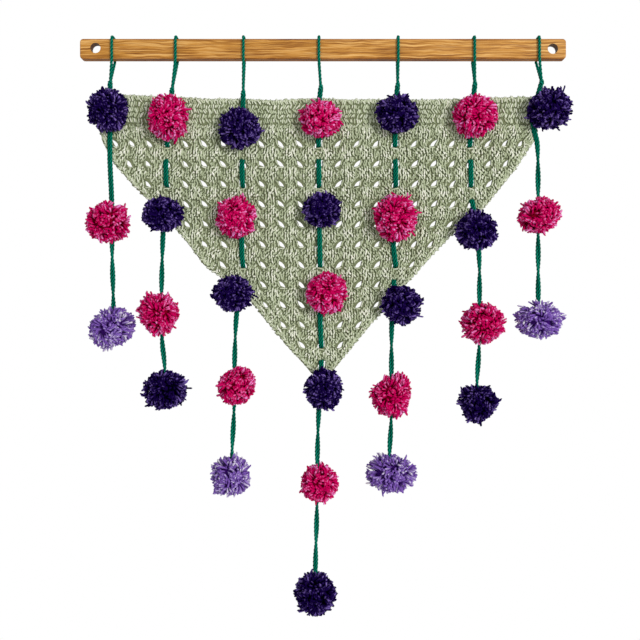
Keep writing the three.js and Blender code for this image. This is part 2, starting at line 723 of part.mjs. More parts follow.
// The depth at which a pompom lies against the raised clusters of the cloth.
function backOn(x, z) {
  return drape(x, z) - CLOTH_HALF - CLUSTER_RISE - CLEAR_OF_CLOTH;
}

// The room that the cord takes in a pompom: closed all round where it hangs free, open to the cloth where
// the pompom lies on it.
function channelGeometry({ z, tall, onCloth }, stops) {
  const points = new Route(stops).getPoints(CHANNEL.pointsPerStretch * (stops.length - 1));
  const inside = points.filter((point) => (
    Math.abs(point.z - z) < tall / 2 + CHANNEL.past
    && (!onCloth || point.y < backOn(point.x, point.z) + STRAND_RADIUS)
  ));
  const room = new THREE.Box3().setFromPoints(inside);
  const margin = new THREE.Vector3(PAIR_HALF_WIDE, STRAND_RADIUS, 0).addScalar(CHANNEL.clearance);
  room.min.sub(margin);
  room.max.add(margin);
  if (onCloth) {
    room.min.z = z - tall;
    room.max.z = z + tall;
    room.max.y = BACK_LIMIT;
  }
  return boxGeometry(room.min, room.max);
}

function slotGeometry(x, z) {
  const half = new THREE.Vector3(SLOT.wide / 2, 4 * BESIDE_CLOTH, SLOT.tall / 2);
  const middle = new THREE.Vector3(x, 0, z);
  return boxGeometry(middle.clone().sub(half), middle.clone().add(half));
}

// The cloth with the places in its header where the outer cords pass between two stitches.
function threadedClothGeometry() {
  let solid = toSolid(clothGeometry());
  for (const { route } of CORDS) {
    for (const { x, z } of route.filter((stop) => ['in', 'out'].includes(stop.lay) && 'x' in stop)) {
      solid = solid.subtract(toSolid(slotGeometry(x, z)));
    }
  }
  return toGeometry(solid);
}

function material(name) {
  return new THREE.MeshStandardMaterial({ ...COLOURS[name], metalness: 0 });
}

function named(name, geometry, colour) {
  const mesh = new THREE.Mesh(geometry, material(colour));
  mesh.name = name;
  return mesh;
}

const hanging = new THREE.Group();
hanging.add(named('bar', barGeometry(), 'oak'));
hanging.add(named('cloth', threadedClothGeometry(), 'sage'));

CORDS.forEach((cord, i) => {
  const stops = cordStops(cord, POMPOMS[i]);
  hanging.add(named(`cord_${i + 1}`, cordGeometry(cord, stops), 'green'));
  POMPOMS[i].forEach((pompom, j) => {
    const seed = 10 * i + j + 1;
    const solid = toSolid(pompomGeometry(pompom, seed)).subtract(toSolid(channelGeometry(pompom, stops)));
    hanging.add(named(`pompom_${i + 1}_${j + 1}`, toGeometry(solid), pompom.colour));
  });
});

export default hanging;
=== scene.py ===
# %% [markdown]
# A pom pom wall hanging: an oak bar, a crocheted triangle and seven green cords that carry thirty pompoms.
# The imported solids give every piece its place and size. This script dresses them in yarn and wood, and each
# new piece is modelled here with Blender's own mesh and curve tools.

# %% The frame, and the modules that the cells use
import json
import math
import random

import bmesh
import bpy
from mathutils import Matrix, Vector, noise
from mathutils.bvhtree import BVHTree

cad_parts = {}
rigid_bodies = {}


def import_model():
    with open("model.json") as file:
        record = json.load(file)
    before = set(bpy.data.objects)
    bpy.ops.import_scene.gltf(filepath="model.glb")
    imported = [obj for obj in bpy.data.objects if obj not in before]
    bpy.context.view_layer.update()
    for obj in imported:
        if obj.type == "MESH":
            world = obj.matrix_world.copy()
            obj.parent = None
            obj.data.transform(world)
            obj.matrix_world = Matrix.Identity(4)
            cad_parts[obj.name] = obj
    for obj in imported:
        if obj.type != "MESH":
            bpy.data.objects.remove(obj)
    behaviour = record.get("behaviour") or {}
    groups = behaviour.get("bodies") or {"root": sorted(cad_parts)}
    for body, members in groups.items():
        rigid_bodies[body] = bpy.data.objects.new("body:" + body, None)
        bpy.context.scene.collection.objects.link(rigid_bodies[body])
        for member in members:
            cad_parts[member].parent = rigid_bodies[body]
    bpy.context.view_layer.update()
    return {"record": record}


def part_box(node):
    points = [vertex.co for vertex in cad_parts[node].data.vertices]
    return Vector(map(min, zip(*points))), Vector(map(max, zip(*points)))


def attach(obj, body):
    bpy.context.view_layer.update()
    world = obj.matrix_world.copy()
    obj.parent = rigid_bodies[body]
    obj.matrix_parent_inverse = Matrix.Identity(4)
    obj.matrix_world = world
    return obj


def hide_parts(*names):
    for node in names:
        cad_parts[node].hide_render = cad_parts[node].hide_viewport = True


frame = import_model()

scene = bpy.context.scene
slots = {part["node"]: part["material_slot"] for part in frame["record"]["subparts"]}

# %% [markdown]
# The camera comes first, so that each piece can be judged as the photograph shows it. It stands 0.83 m in
# front of the bar, level, at the height of the middle of the hanging. A longer lens further back would
# flatten the pompoms, and a shorter one would show more of their sides than the photograph does.

# %% The camera
SENSOR_WIDTH_MM = 36.0
LENS_MM = 49.2
CAMERA_AT = Vector((-0.0028, -0.8264, -0.2454))

camera = bpy.data.objects.new("camera", bpy.data.cameras.new("camera"))
camera.data.lens = LENS_MM
camera.data.sensor_width = SENSOR_WIDTH_MM
camera.location = CAMERA_AT
camera.rotation_euler = (math.pi / 2, 0, 0)
scene.collection.objects.link(camera)
scene.camera = camera
print(f"camera {-CAMERA_AT.y:.3f} m in front of the bar's middle")

# %% [markdown]
# Light: a white room with the daylight coming from the right, which throws each pompom's shade to its left.
# A white world gives the even light, and one large lamp the direction. The camera sees the world as pure
# white, but it lights the yarn with less than that, which leaves the hollows their depth.

# %% Light
ROOM_LIGHT = 0.55
ROOM_SEEN = 1.0
KEY_AT = Vector((1.9, -3.06, 0.35))
KEY_AIM = Vector((0, 0, -0.25))
KEY_SIZE = 1.0
KEY_WATTS = 76.0
KEY_COLOUR = (1.0, 0.97, 0.93)

world = bpy.data.worlds.new("white_room")
world.use_nodes = True
room = world.node_tree
lit = room.nodes["Background"]
lit.inputs["Color"].default_value = (1, 1, 1, 1)
lit.inputs["Strength"].default_value = ROOM_LIGHT
seen = room.nodes.new("ShaderNodeBackground")
seen.inputs["Color"].default_value = (1, 1, 1, 1)
seen.inputs["Strength"].default_value = ROOM_SEEN
which = room.nodes.new("ShaderNodeLightPath")
either = room.nodes.new("ShaderNodeMixShader")
room.links.new(which.outputs["Is Camera Ray"], either.inputs["Fac"])
room.links.new(lit.outputs["Background"], either.inputs[1])
room.links.new(seen.outputs["Background"], either.inputs[2])
room.links.new(either.outputs["Shader"], room.nodes["World Output"].inputs["Surface"])
scene.world = world
scene.view_settings.view_transform = "Standard"

key = bpy.data.objects.new("key", bpy.data.lights.new("key", "AREA"))
key.data.energy = KEY_WATTS
key.data.size = KEY_SIZE
key.data.color = KEY_COLOUR
key.location = KEY_AT
key.rotation_euler = (KEY_AIM - KEY_AT).to_track_quat("-Z", "Y").to_euler()
scene.collection.objects.link(key)
print(f"one lamp of {KEY_WATTS:.0f} W, {(KEY_AT - KEY_AIM).length:.1f} m from the cloth")

# %% [markdown]
# The floor lies well below, so that no shadow on it distracts from the yarn. It is the first piece that is
# made here, and shows the steps of every later one: build a mesh, give it a material, link an object that
# holds both. Each step is a small helper.

# %% The floor, and the steps that make a piece
FLOOR_Z = -1.3
FLOOR_HALF = 1.9


def finished(name, bm):
    """Writes the working mesh into a new mesh and lets go of it."""
    mesh = bpy.data.meshes.new(name)
    bm.to_mesh(mesh)
    bm.free()
    return mesh


def link(name, mesh, material):
    """An object at the origin that shows a finished mesh in one material."""
    piece = bpy.data.objects.new(name, mesh)
    mesh.materials.clear()
    mesh.materials.append(material)
    scene.collection.objects.link(piece)
    return piece


def matte(name, roughness):
    """A new material, and its node tree and shader."""
    material = bpy.data.materials.new(name)
    material.use_nodes = True
    shader = material.node_tree.nodes["Principled BSDF"]
    shader.inputs["Roughness"].default_value = roughness
    return material, material.node_tree, shader


pale, _, pale_shader = matte("pale_floor", 0.8)
pale_shader.inputs["Base Color"].default_value = (0.9, 0.9, 0.9, 1)
floor_bm = bmesh.new()
bmesh.ops.create_grid(floor_bm, x_segments=1, y_segments=1, size=FLOOR_HALF)
bmesh.ops.translate(floor_bm, verts=floor_bm.verts, vec=(0, 0, FLOOR_Z))
link("floor", finished("floor", floor_bm), pale)

# %% [markdown]
# The pattern of the crochet. The real triangle is worked outwards in V-shaped rows of shells, five tall
# stitches in each, with a small gap between two shells. The gaps stand in straight columns and rows, so a
# place on the cloth is told by its column, counted from the spine, and its row. The same few numbers as in
# the solids turn that into metres, which keeps the yarn on the cloth that the checks know.

# %% Where a place of the pattern lies
GAP_ROWS = 11
COLUMN_PITCH = 0.0181
ROW_PITCH = 0.019
FIRST_ROW_Z = -0.0791
SPINE_X = -0.0042
SPINE_LEAN = 0.00025
EDGE_AT = 11.8
EDGE_DRAW_POWER = 5
RIDGE_ROW = -0.94
TOP_ROW = -2.2
TIP_ROW = GAP_ROWS + 0.75
RIDGE_Z = FIRST_ROW_Z - RIDGE_ROW * ROW_PITCH
REACH = [
    (-2.2, 0.209, 0.211), (-1, 0.2075, 0.2075), (0, 0.202, 0.201), (1, 0.1925, 0.1884),
    (2, 0.176, 0.1735), (3, 0.157, 0.158), (4, 0.1384, 0.1345), (5, 0.1234, 0.115),
    (6, 0.1095, 0.0971), (7, 0.0842, 0.0795), (8, 0.0619, 0.0633), (9, 0.0478, 0.0457),
    (10, 0.0322, 0.0293), (11, 0.0153, 0.0146), (12, 0, 0),
]
TOP_EDGE = [
    (-0.215, -0.033), (-0.149, -0.0347), (-0.11, -0.0376), (-0.075, -0.0369), (-0.042, -0.039),
    (-0.008, -0.0361), (0.028, -0.0385), (0.071, -0.0371), (0.102, -0.0385), (0.144, -0.0366),
    (0.207, -0.0353),
]
WAVE = {"height": 0.0013, "pitch": 0.072, "die_away": 0.5, "over": 0.263}
CURL = {"left": 0.0022, "right": 0.0014, "width": 0.022}


def between(table, at, value=1):
    """A column of a table at a place between two of its rows, or at its first or last row."""
    if at <= table[0][0]:
        return table[0][value]
    for low, high in zip(table, table[1:]):
        if at <= high[0]:
            share = (at - low[0]) / (high[0] - low[0])
            return low[value] + share * (high[value] - low[value])
    return table[-1][value]


def spine_x(row):
    return SPINE_X + SPINE_LEAN * max(row, 0)


def reach(side, row):
    return between(REACH, row, 1 if side < 0 else 2)


def place(column, row):
    """The x and z of a place of the pattern on the hung cloth."""
    side = -1 if column < 0 else 1
    edge = EDGE_AT - max(row, 0)
    share = abs(column) / edge
    slack = reach(side, row) - COLUMN_PITCH * edge
    x = spine_x(row) + side * (COLUMN_PITCH * abs(column) + slack * share ** EDGE_DRAW_POWER)
    if row >= RIDGE_ROW:
        return x, FIRST_ROW_Z - ROW_PITCH * row
    up = (RIDGE_ROW - row) / (RIDGE_ROW - TOP_ROW)
    return x, RIDGE_Z + up * (between(TOP_EDGE, x) - RIDGE_Z)


def drape(x, z):
    """The y of the cloth's middle: soft waves, and a curl along the two slanting edges."""
    row = (FIRST_ROW_Z - z) / ROW_PITCH
    side = -1 if x < spine_x(row) else 1
    to_edge = min(max((reach(side, row) - abs(x - spine_x(row))) / CURL["width"], 0), 1)
    down = min(max((FIRST_ROW_Z - z) / WAVE["over"], 0), 1)
    wave = WAVE["height"] * math.cos(2 * math.pi * (x - SPINE_X) / WAVE["pitch"])
    curl = (1 - to_edge * to_edge * (3 - 2 * to_edge)) * CURL["left" if side < 0 else "right"]
    return wave * (1 - WAVE["die_away"] * down) - curl


def on_cloth(column, row, lift=0.0):
    """A point of the pattern in space, lifted from the cloth's middle towards the viewer."""
    x, z = place(column, row)
    return Vector((x, drape(x, z) - lift, z))


print(f"first gap {on_cloth(0, 0)[:]}, tip {on_cloth(0, TIP_ROW)[:]}")

# %% [markdown]
# Materials are small networks of nodes: a pattern goes in, is reckoned with, is turned into colours by a ramp
# and ends in the shader. The same four steps serve yarn and wood, so each is a short function here. A term
# is either a number, which is set on the node, or the output of another node, which is joined to it.

# %% Steps that every material is made of
def feed(tree, socket, term):
    """Sets a number or a colour on a socket, or joins another node's output to it."""
    if isinstance(term, (int, float, tuple)):
        socket.default_value = term
    else:
        tree.links.new(term, socket)


def reckon(tree, operation, *terms):
    node = tree.nodes.new("ShaderNodeMath")
    node.operation = operation
    for socket, term in zip(node.inputs, terms):
        feed(tree, socket, term)
    return node.outputs[0]


def speckle(tree, at, scale, detail, roughness=0.5, distortion=0.0):
    """A noise pattern, read at the places that come from another node. It has a value and a colour."""
    node = tree.nodes.new("ShaderNodeTexNoise")
    names = ("Vector", "Scale", "Detail", "Roughness", "Distortion")
    for name, term in zip(names, (at, scale, detail, roughness, distortion)):
        feed(tree, node.inputs[name], term)
    return node.outputs


def ramp(tree, value, *stops):
    """Turns a value into a colour by stops, each a position and a colour."""
    node = tree.nodes.new("ShaderNodeValToRGB")
    elements = node.color_ramp.elements
    elements[0].position, elements[0].color = stops[0][0], (*stops[0][1], 1)
    elements[1].position, elements[1].color = stops[-1][0], (*stops[-1][1], 1)
    for position, colour in stops[1:-1]:
        elements.new(position).color = (*colour, 1)
    tree.links.new(value, node.inputs["Fac"])
    return node.outputs["Color"]


def bumped(tree, shader, height, strength, distance):
    """Makes the surface look uneven where a pattern is high or low."""
    node = tree.nodes.new("ShaderNodeBump")
    for socket, term in {"Strength": strength, "Distance": distance, "Height": height}.items():
        feed(tree, node.inputs[socket], term)
    tree.links.new(node.outputs["Normal"], shader.inputs["Normal"])


def object_places(tree):
    """The place of each point in the piece's own frame."""
    return tree.nodes.new("ShaderNodeTexCoord").outputs["Object"]


print("steps: reckon, speckle, ramp, bumped")

# %% [markdown]
# Yarn. Worsted yarn is three or four plies twisted together, matte and slightly fuzzy. Every piece below
# carries two numbers on its points: a tone, which differs from strand to strand and also carries some painted
# light and shade, and a depth, which runs from 0 where a strand dives in to 1 where it faces the light. The
# depth paints shade and highlight: painted shade where it is low, a painted highlight where it is high. One
# material recipe reads both, so a single recipe dyes the crochet, the cords and the pompoms. Its fuzz is a
# fine noise, in colour and in relief.

# %% A yarn material
FIBRE_SCALE = 1400
FIBRE_RELIEF = 0.0003
MOTTLE = 0.3
MOTTLE_LOWER = -0.1
LEVEL_RANGE = 0.9
BODY_AT = 0.66


def yarn_material(name, shade_colour, body, highlight_colour, spread=0.4):
    """Matte dyed yarn: painted shade in the hollows, a painted highlight on the crowns, a little change by
    strand.
    """
    material, tree, shader = matte(name, 0.9)
    shader.inputs["Specular IOR Level"].default_value = 0.02
    fibres = speckle(tree, object_places(tree), FIBRE_SCALE, 2)["Fac"]
    level = reckon(tree, "MULTIPLY_ADD", fibres, MOTTLE, MOTTLE_LOWER)
    # The tone differs at random from strand to strand, and also carries painted light and painted shade.
    for attribute, share in (("tone_and_shade", spread), ("depth", LEVEL_RANGE - spread)):
        number = tree.nodes.new("ShaderNodeAttribute")
        number.attribute_name = attribute
        level = reckon(tree, "MULTIPLY_ADD", number.outputs["Fac"], share, level)
    # The first colour of the ramp is painted shade and the last a painted highlight. The middle one is the
    # dye.
    colour = ramp(tree, level, (0.0, shade_colour), (BODY_AT, body), (1.0, highlight_colour))
    tree.links.new(colour, shader.inputs["Base Color"])
    bumped(tree, shader, fibres, 0.5, FIBRE_RELIEF)
    return material


# Each dye: its painted shade colour, its own colour, its painted highlight colour, and for some how far the
# tone moves it.
DYES = {
    "sage_yarn": ((0.085, 0.1, 0.03), (0.52, 0.59, 0.4), (1.0, 1.0, 0.92), 0.3),
    "green_yarn": ((0.0, 0.012, 0.006), (0.0, 0.19, 0.12), (0.04, 0.6, 0.46), 0.2),
    "magenta_yarn": ((0.3, 0.0, 0.012), (0.64, 0.001, 0.125), (1.0, 0.42, 0.94)),
    "purple_yarn": ((0.0, 0.0, 0.006), (0.009, 0.001, 0.06), (0.26, 0.17, 0.58)),
    "lavender_yarn": ((0.04, 0.0, 0.15), (0.25, 0.13, 0.52), (1.0, 1.0, 1.0)),
}
dyes = {name: yarn_material(name, *colours) for name, colours in DYES.items()}
sage = dyes["sage_yarn"]
print(f"{len(dyes)} dyes")

# %% [markdown]
# One short strand of yarn, as it shows between the place where it comes out of the cloth and the place where
# it dives back in. It is a four-sided spindle, bent outwards, and lies along X from -0.5 to 0.5. It is used
# thousands of times, so it has only a dozen faces. A curve for each strand would be smoother, but the cloth
# would then have millions of faces.

# %% A strand
def numbered(mesh, painted_shading):
    """Gives a mesh its two numbers for each point. The tone is set when a copy is laid."""
    # The depth of each point paints its shade and highlight.
    mesh.attributes.new("depth", "FLOAT", "POINT").data.foreach_set("value", painted_shading)
    mesh.attributes.new("tone_and_shade", "FLOAT", "POINT")
    return mesh


def lathe(name, profile, sides, bow=0.0):
    """A closed spindle along X from (along, radius) pairs, its two ends drawn to points, bent towards +Z."""
    bm = bmesh.new()
    ring = bmesh.ops.create_circle(bm, segments=sides, radius=1)["verts"]
    bmesh.ops.rotate(bm, verts=ring, matrix=Matrix.Rotation(math.pi / 2, 3, "Y"))
    rings, edges = [ring], bm.edges[:]
    for _ in profile[1:]:
        made = bmesh.ops.extrude_edge_only(bm, edges=edges)["geom"]
        ring = [item for item in made if isinstance(item, bmesh.types.BMVert)]
        edges = [item for item in made if isinstance(item, bmesh.types.BMEdge)]
        edges = [edge for edge in edges if edge.verts[0] in ring and edge.verts[1] in ring]
        rings.append(ring)
    for (along, radius), ring in zip(profile, rings):
        for vert in ring:
            vert.co = (along, vert.co.y * radius, vert.co.z * radius)
    for (along, _), ring in ((profile[0], rings[0]), (profile[-1], rings[-1])):
        bmesh.ops.pointmerge(bm, verts=ring, merge_co=(along, 0, 0))
    bmesh.ops.recalc_face_normals(bm, faces=bm.faces)
    for vert in bm.verts:
        vert.co.z += bow * (1 - 4 * vert.co.x ** 2)
    for face in bm.faces:
        face.smooth = True
    return finished(name, bm)


STRAND_PROFILE = [(-0.5, 0), (-0.28, 0.5), (0.28, 0.5), (0.5, 0)]
STRAND_BOW = 0.25
STRAND_SHADE = 1.2
strand = lathe("strand", STRAND_PROFILE, 4, bow=STRAND_BOW)
# The top of a strand gets a depth near 1 and its sides and ends less: a painted highlight on its crown,
# painted shade on its sides.
numbered(strand, [min(max(STRAND_SHADE * vert.co.z + STRAND_BOW, 0), 1) for vert in strand.vertices])
print(f"a strand has {len(strand.polygons)} faces")

# %% [markdown]
# Laying strands. Copies of one small mesh are moved into place and joined into one piece, which keeps the
# count of objects low. The matrix of a copy is built from its two ends and the way its bow points, so that
# the rest of the script can think in points on the cloth.

# %% How copies are laid
def lay(name, master, laid, material):
    """Joins copies of a small mesh into one piece. laid holds a matrix and a tone for each copy."""
    bm = bmesh.new()
    for matrix, tone_and_shade in laid:
        copy = master.copy()
        copy.transform(matrix)
        copy.attributes["tone_and_shade"].data.foreach_set("value", [tone_and_shade] * len(copy.vertices))
        bm.from_mesh(copy)
        bpy.data.meshes.remove(copy)
    mesh = finished(name, bm)
    piece = link(name, mesh, material)
    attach(piece, "root")
    print(f"{name}: {len(laid)} copies, {sum(len(p.vertices) - 2 for p in mesh.polygons)} triangles")
    return piece


def lying(start, end, thickness, out=Vector((0, -1, 0))):
    """The matrix that lays a strand from one point to another, its bow towards out."""
    along = end - start
    across = out.cross(along).normalized()
    up = along.cross(across).normalized()
    matrix = Matrix((along, across * thickness, up * thickness)).transposed().to_4x4()
    matrix.translation = (start + end) / 2
    return matrix


upright = lying(Vector((0, 0, 0)), Vector((0, 0, 0.01)), 0.002)
bow_mm = -1000 * (upright @ Vector((0, 0, STRAND_BOW))).y
print(f"the middle of a strand 2 mm thick stands {bow_mm:.2f} mm in front of its ends")

# %% [markdown]
# The stitches. A tall stitch shows as two columns of short strands that all lean the same way, like the
# twist of a rope, and it ends in a loop that lies along the row. Written as shares of the stitch's length and
# as distances across it, one list serves every shell, and shorter ones the header and the edging.

# %% The strands of one stitch
STRAND_THICK = 0.0018
UNEVEN = 0.15
FRONT = 0.0007
COLUMN_OFF = 0.001
LEAN = 0.001
TURN = 0.0009
GRAIN_LONG = 0.25
GRAIN_LATER = 0.1
TOP_LOOP = (1.08, 0.0019, 1.12, -0.0019)
SHORTER = 0.05


def leaning(low, long, across, lean=LEAN):
    """One strand of a stitch: its ends as (share of the stitch's length, distance across it)."""
    return low, across - lean, low + long, across + lean


TALL_STITCH = []
for low in (0.0, 0.21, 0.42, 0.63, 0.84):
    TALL_STITCH.append(leaning(low, GRAIN_LONG, -COLUMN_OFF))
    TALL_STITCH.append(leaning(low + GRAIN_LATER, GRAIN_LONG, COLUMN_OFF))
BACK_STITCH = TALL_STITCH[0:9:2] + TALL_STITCH[1:8:3]
SPINE_STITCH = TALL_STITCH[:2] + TALL_STITCH[5:7]
TALL_STITCH.append(TOP_LOOP)
HEADER_STITCH = [leaning(-0.05, 1.2, -0.001, 0.0009), leaning(0.05, 1.2, 0.001, 0.0009)]
EDGE_STITCH = [leaning(0.0, 0.6, -0.0008), leaning(0.35, 0.6, 0.0008)]
chance = random.Random(7)


def stitch(laid, base, top, strands, face=1, hand=1, puff=0.0, wobble=0.0008, painted_light=0.0, ends=0.0):
    """Adds the strands of one stitch from base to top. hand tells which way its strands lean.

    puff raises its middle. Two numbers paint light and shade: the first makes all of it lighter, a painted
    highlight, or darker below 0, a painted shade, and ends makes it darker at its two ends, a painted shade."""
    up = top - base
    across = hand * up.cross(Vector((0, face, 0))).normalized()
    out = Vector((0, -face, 0))
    for low, low_across, high, high_across in strands:
        turn = chance.uniform(-TURN, TURN)
        low_across, high_across = low_across - turn, high_across + turn
        low, high = low + chance.uniform(0, SHORTER), high - chance.uniform(0, SHORTER)
        start = base + low * up + low_across * across
        end = base + high * up + high_across * across
        for point, share in ((start, low), (end, high)):
            point.x += chance.uniform(-wobble, wobble)
            point.z += chance.uniform(-wobble, wobble)
            rise = FRONT + puff * max(4 * share * (1 - share), 0)
            point.y += drape(point.x, point.z) - point.y - face * rise
        thickness = STRAND_THICK * chance.uniform(1 - UNEVEN, 1 + UNEVEN)
        # The tone differs at random, and carries the painted light and shade of the stitch.
        tone_and_shade = chance.random() + painted_light - ends * (low + high - 1) ** 2
        laid.append((lying(start, end, thickness, out), tone_and_shade))


print(f"{len(TALL_STITCH)} strands in a tall stitch")

# %% [markdown]
# A gap is a slit that leans with its row: down to the right in the left half, down to the left in the right
# half. Its outline is told in the same columns and rows as everything else on the cloth. Where a cord goes
# through, the yarn is pushed aside and the slit is wider.

# %% The outline of a gap
GAP_LONG = 0.22
GAP_WIDE = {1: 0.07, -1: 0.055}
THREADED_ROWS = (0, 1, 2, 3, 6, 7, 10, 11)
THREADED_WIDER = 1.8


def wider(column, row):
    """How much wider a gap is than most: more where one of the five inner cords goes through it."""
    return THREADED_WIDER if column % 4 == 0 and row in THREADED_ROWS else 1


def gap_outline(side, along, across, wide=1):
    """The pattern offset of a point of a gap's outline, in the direction along and across its row."""
    out = 1 / math.hypot(along / GAP_LONG, across / (wide * GAP_WIDE[1 if across > 0 else -1]))
    u, v = along * out, across * out
    return side * (u + v), v - u


print("a gap reaches", [round(1000 * (on_cloth(*gap_outline(1, u, v)) - on_cloth(0, 0)).length, 1)
                        for u, v in ((1, 0), (0, 1), (0, -1))], "mm from its middle")

# %% [markdown]
# The shells. Each cell between four gaps holds one shell: five stitches that start close together at the gap
# nearest the spine and the bar, and fan out towards the edge. The middle stitch stands out furthest. Its yarn
# is painted lighter, a painted highlight, the outer stitches are painted darker, and shade is painted where a
# stitch dives in, so that each shell reads as a small pillow.

# %% Shells
SHELL = range(-2, 3)
BASE_SPREAD = 0.10
TOP_SPREAD = 0.155
BASE_IN = 0.15
TOP_IN = 0.77
SHORT_TOP_IN = 0.34
SPINE_IN = (0.3, 0.8)
SPINE_CLEAR = 0.02
EDGE_CLEAR = 0.1
PUFF = 0.0012
PUFF_ENDS_AT = 3
# Painted light and shade: the middle stitch of a shell lighter, its outer stitches darker, each stitch darker
# at both ends.
PAINTED_LIGHT_MIDDLE = 0.45
PAINTED_SHADE_SIDES = -0.3
PAINTED_SHADE_ENDS = 0.45


def on_shell(side, column, row):
    """A point of the cloth that stays on its side of the spine and inside the edge."""
    inside = min(max(column, SPINE_CLEAR), EDGE_AT - max(row, 0) - EDGE_CLEAR)
    return on_cloth(side * inside, row)


def shell(laid, side, steps, row, top_in, strands, face):
    for i in SHELL:
        base = on_shell(side, steps + BASE_IN + i * BASE_SPREAD, row + BASE_IN - i * BASE_SPREAD)
        top = on_shell(side, steps + top_in + i * TOP_SPREAD, row + top_in - i * TOP_SPREAD)
        puff = PUFF * (1 - (i / PUFF_ENDS_AT) ** 2)
        painted_light = PAINTED_LIGHT_MIDDLE + (PAINTED_SHADE_SIDES - PAINTED_LIGHT_MIDDLE) * (i / SHELL[-1]) ** 2
        stitch(laid, base, top, strands, face, -side * face, puff, painted_light=painted_light, ends=PAINTED_SHADE_ENDS)


def shells(face):
    """All shells of one face, in two halves, and the short ones between the last gaps and the edge."""
    halves = {-1: [], 1: []}
    for side, laid in halves.items():
        for row in range(-1, GAP_ROWS):
            low, high = (on_cloth(0, row + rows_in) for rows_in in SPINE_IN)
            stitch(laid, low, high, SPINE_STITCH, face)
        for row in range(-1, GAP_ROWS + 1):
            for steps in range(0, GAP_ROWS - row):
                shell(laid, side, steps, row, TOP_IN, TALL_STITCH if face > 0 else BACK_STITCH, face)
            if row >= 0:
                shell(laid, side, GAP_ROWS - row, row, SHORT_TOP_IN, EDGE_STITCH, face)
    return halves


print(f"{GAP_ROWS + 2} rows of shells, {len(SHELL)} stitches in a shell")

# %% [markdown]
# The header. Above the first gaps the triangle is finished with rows of low stitches, which keep it from
# stretching between the cords. Each row leans against the one below it, as the work turns back at each end,
# and a chain of small loops closes the top. The first row leaves out the places where a shell begins.

# %% The header
HEADER_STITCHES = 104
HEADER_ROWS = [
    (-0.52, -0.74), (-0.72, -0.92), (-0.98, -1.22), (-1.22, -1.46), (-1.46, -1.7), (-1.7, -1.94),
    (-1.94, -2.17),
]
HEADER_WOBBLE = 0.0011
CLEAR_OF_SHELL = 0.22
CHAIN = [(0.0, -0.0012, 0.62, 0.0004), (0.3, 0.0014, 0.95, -0.0002)]
CHAIN_IN = 0.04
TOP_LINK_LONG = 1.3


def header(face):
    laid = []
    for i, (low, high) in enumerate(HEADER_ROWS):
        for k in range(HEADER_STITCHES):
            column = EDGE_AT * (2 * (k + 0.5) / HEADER_STITCHES - 1)
            if i > 0 or abs(abs(column) % 1 - BASE_IN) > CLEAR_OF_SHELL:
                stitch(laid, on_cloth(column, low), on_cloth(column, high), HEADER_STITCH, face, (-1) ** i,
                       wobble=HEADER_WOBBLE)
    links = 2 * HEADER_STITCHES
    for i in range(links):
        ends = [on_cloth(EDGE_AT * (2 * (i + k) / links - 1), TOP_ROW + CHAIN_IN) for k in (0, TOP_LINK_LONG)]
        stitch(laid, *ends, CHAIN, face)
    return laid


print(f"{len(HEADER_ROWS)} header rows of {HEADER_STITCHES} stitches")

# %% [markdown]
# The edging and the borders. One row of short stitches and a chain run down each slanting side, and hide
# where the rows of shells end. Two strands border each gap on the side that the next shell is worked into.
# They are laid as lines between two points, like every other stitch, so they need no tool of their own.

# %% The edging and the borders of the gaps
EDGE_STEPS = 62
EDGE_IN = 0.05
EDGING_OUTER = 0.03
EDGING_INNER = 0.24
SIDE_ROWS = (TOP_ROW, -1.65, -1.1, -0.55)
SIDE_LINK_LONG = 1.25
GAP_BORDER = 1.96
BORDER_STITCH = [(-0.05, 0, 1.05, 0)]


def outline_points(side, inwards):
    """Points down one outer edge of the cloth, from its top corner to the point."""
    points = [on_cloth(side * (EDGE_AT - inwards), row) for row in SIDE_ROWS]
    slope = EDGE_AT - EDGE_IN
    for i in range(EDGE_STEPS + 1):
        column = slope * (1 - i / EDGE_STEPS)
        points.append(on_cloth(side * max(column - inwards, 0), slope * i / EDGE_STEPS))
    return points


def edging(face):
    laid = []
    for side in (-1, 1):
        outer, inner = outline_points(side, EDGING_OUTER), outline_points(side, EDGING_INNER)
        for a, b, c in zip(inner, outer[1:], outer[2:]):
            stitch(laid, a, b, EDGE_STITCH, face)
            stitch(laid, b, b + SIDE_LINK_LONG * (c - b), CHAIN, face)
    return laid


def gap_borders(side, face):
    """Two strands round the outer side of each gap, from one end of it to the other."""
    laid = []
    for row in range(GAP_ROWS + 1):
        for steps in range(0 if side > 0 else 1, GAP_ROWS + 1 - row):
            ends = []
            for along, across, off in ((-1, 0, 1), (0, 1, GAP_BORDER), (1, 0, 1)):
                a, b = gap_outline(side, along, across, wider(steps, row))
                ends.append(on_cloth(side * steps + a * off, row + b * off))
            for start, end in zip(ends, ends[1:]):
                stitch(laid, start, end, BORDER_STITCH, face)
    return laid


print(f"{EDGE_STEPS} steps down each slanting side")

# %% [markdown]
# Now all stitches are laid, first on the front and then on the back. The shells come in a left and a right
# half, and header and edging are pieces of their own, so that no piece grows too large to work with.

# %% All stitches laid
for face, word in ((1, "front"), (-1, "back")):
    halves = shells(face)
    for side, end in ((-1, "left"), (1, "right")):
        laid = halves[side] + gap_borders(side, face)
        lay(f"shells_{word}_{end}", strand, laid, sage)
    lay(f"header_{word}", strand, header(face), sage)
    lay(f"edging_{word}", strand, edging(face), sage)

# %% [markdown]
# Behind the strands lies the rest of the same yarn, which closes the cloth everywhere but at its gaps. It is
# a grid of the pattern, cut to the triangle with planes. At each gap the middle point goes, and the eight
# points around it move onto the outline of the gap, which makes a smooth slit that leans with its row. It is
# painted in the yarn's shade colour: painted shade between the strands.

# %% The ground of the cloth
GROUND_STEPS = 5
GROUND_COLUMNS = 24
GROUND_ROWS = 15
GROUND_FIRST_ROW = -3
GROUND_THICK = 0.0011
# A low depth paints the ground in shade.
GROUND_SHADE = 0.2


def is_gap(column, row):
    return row >= 0 and abs(column) + row <= GAP_ROWS


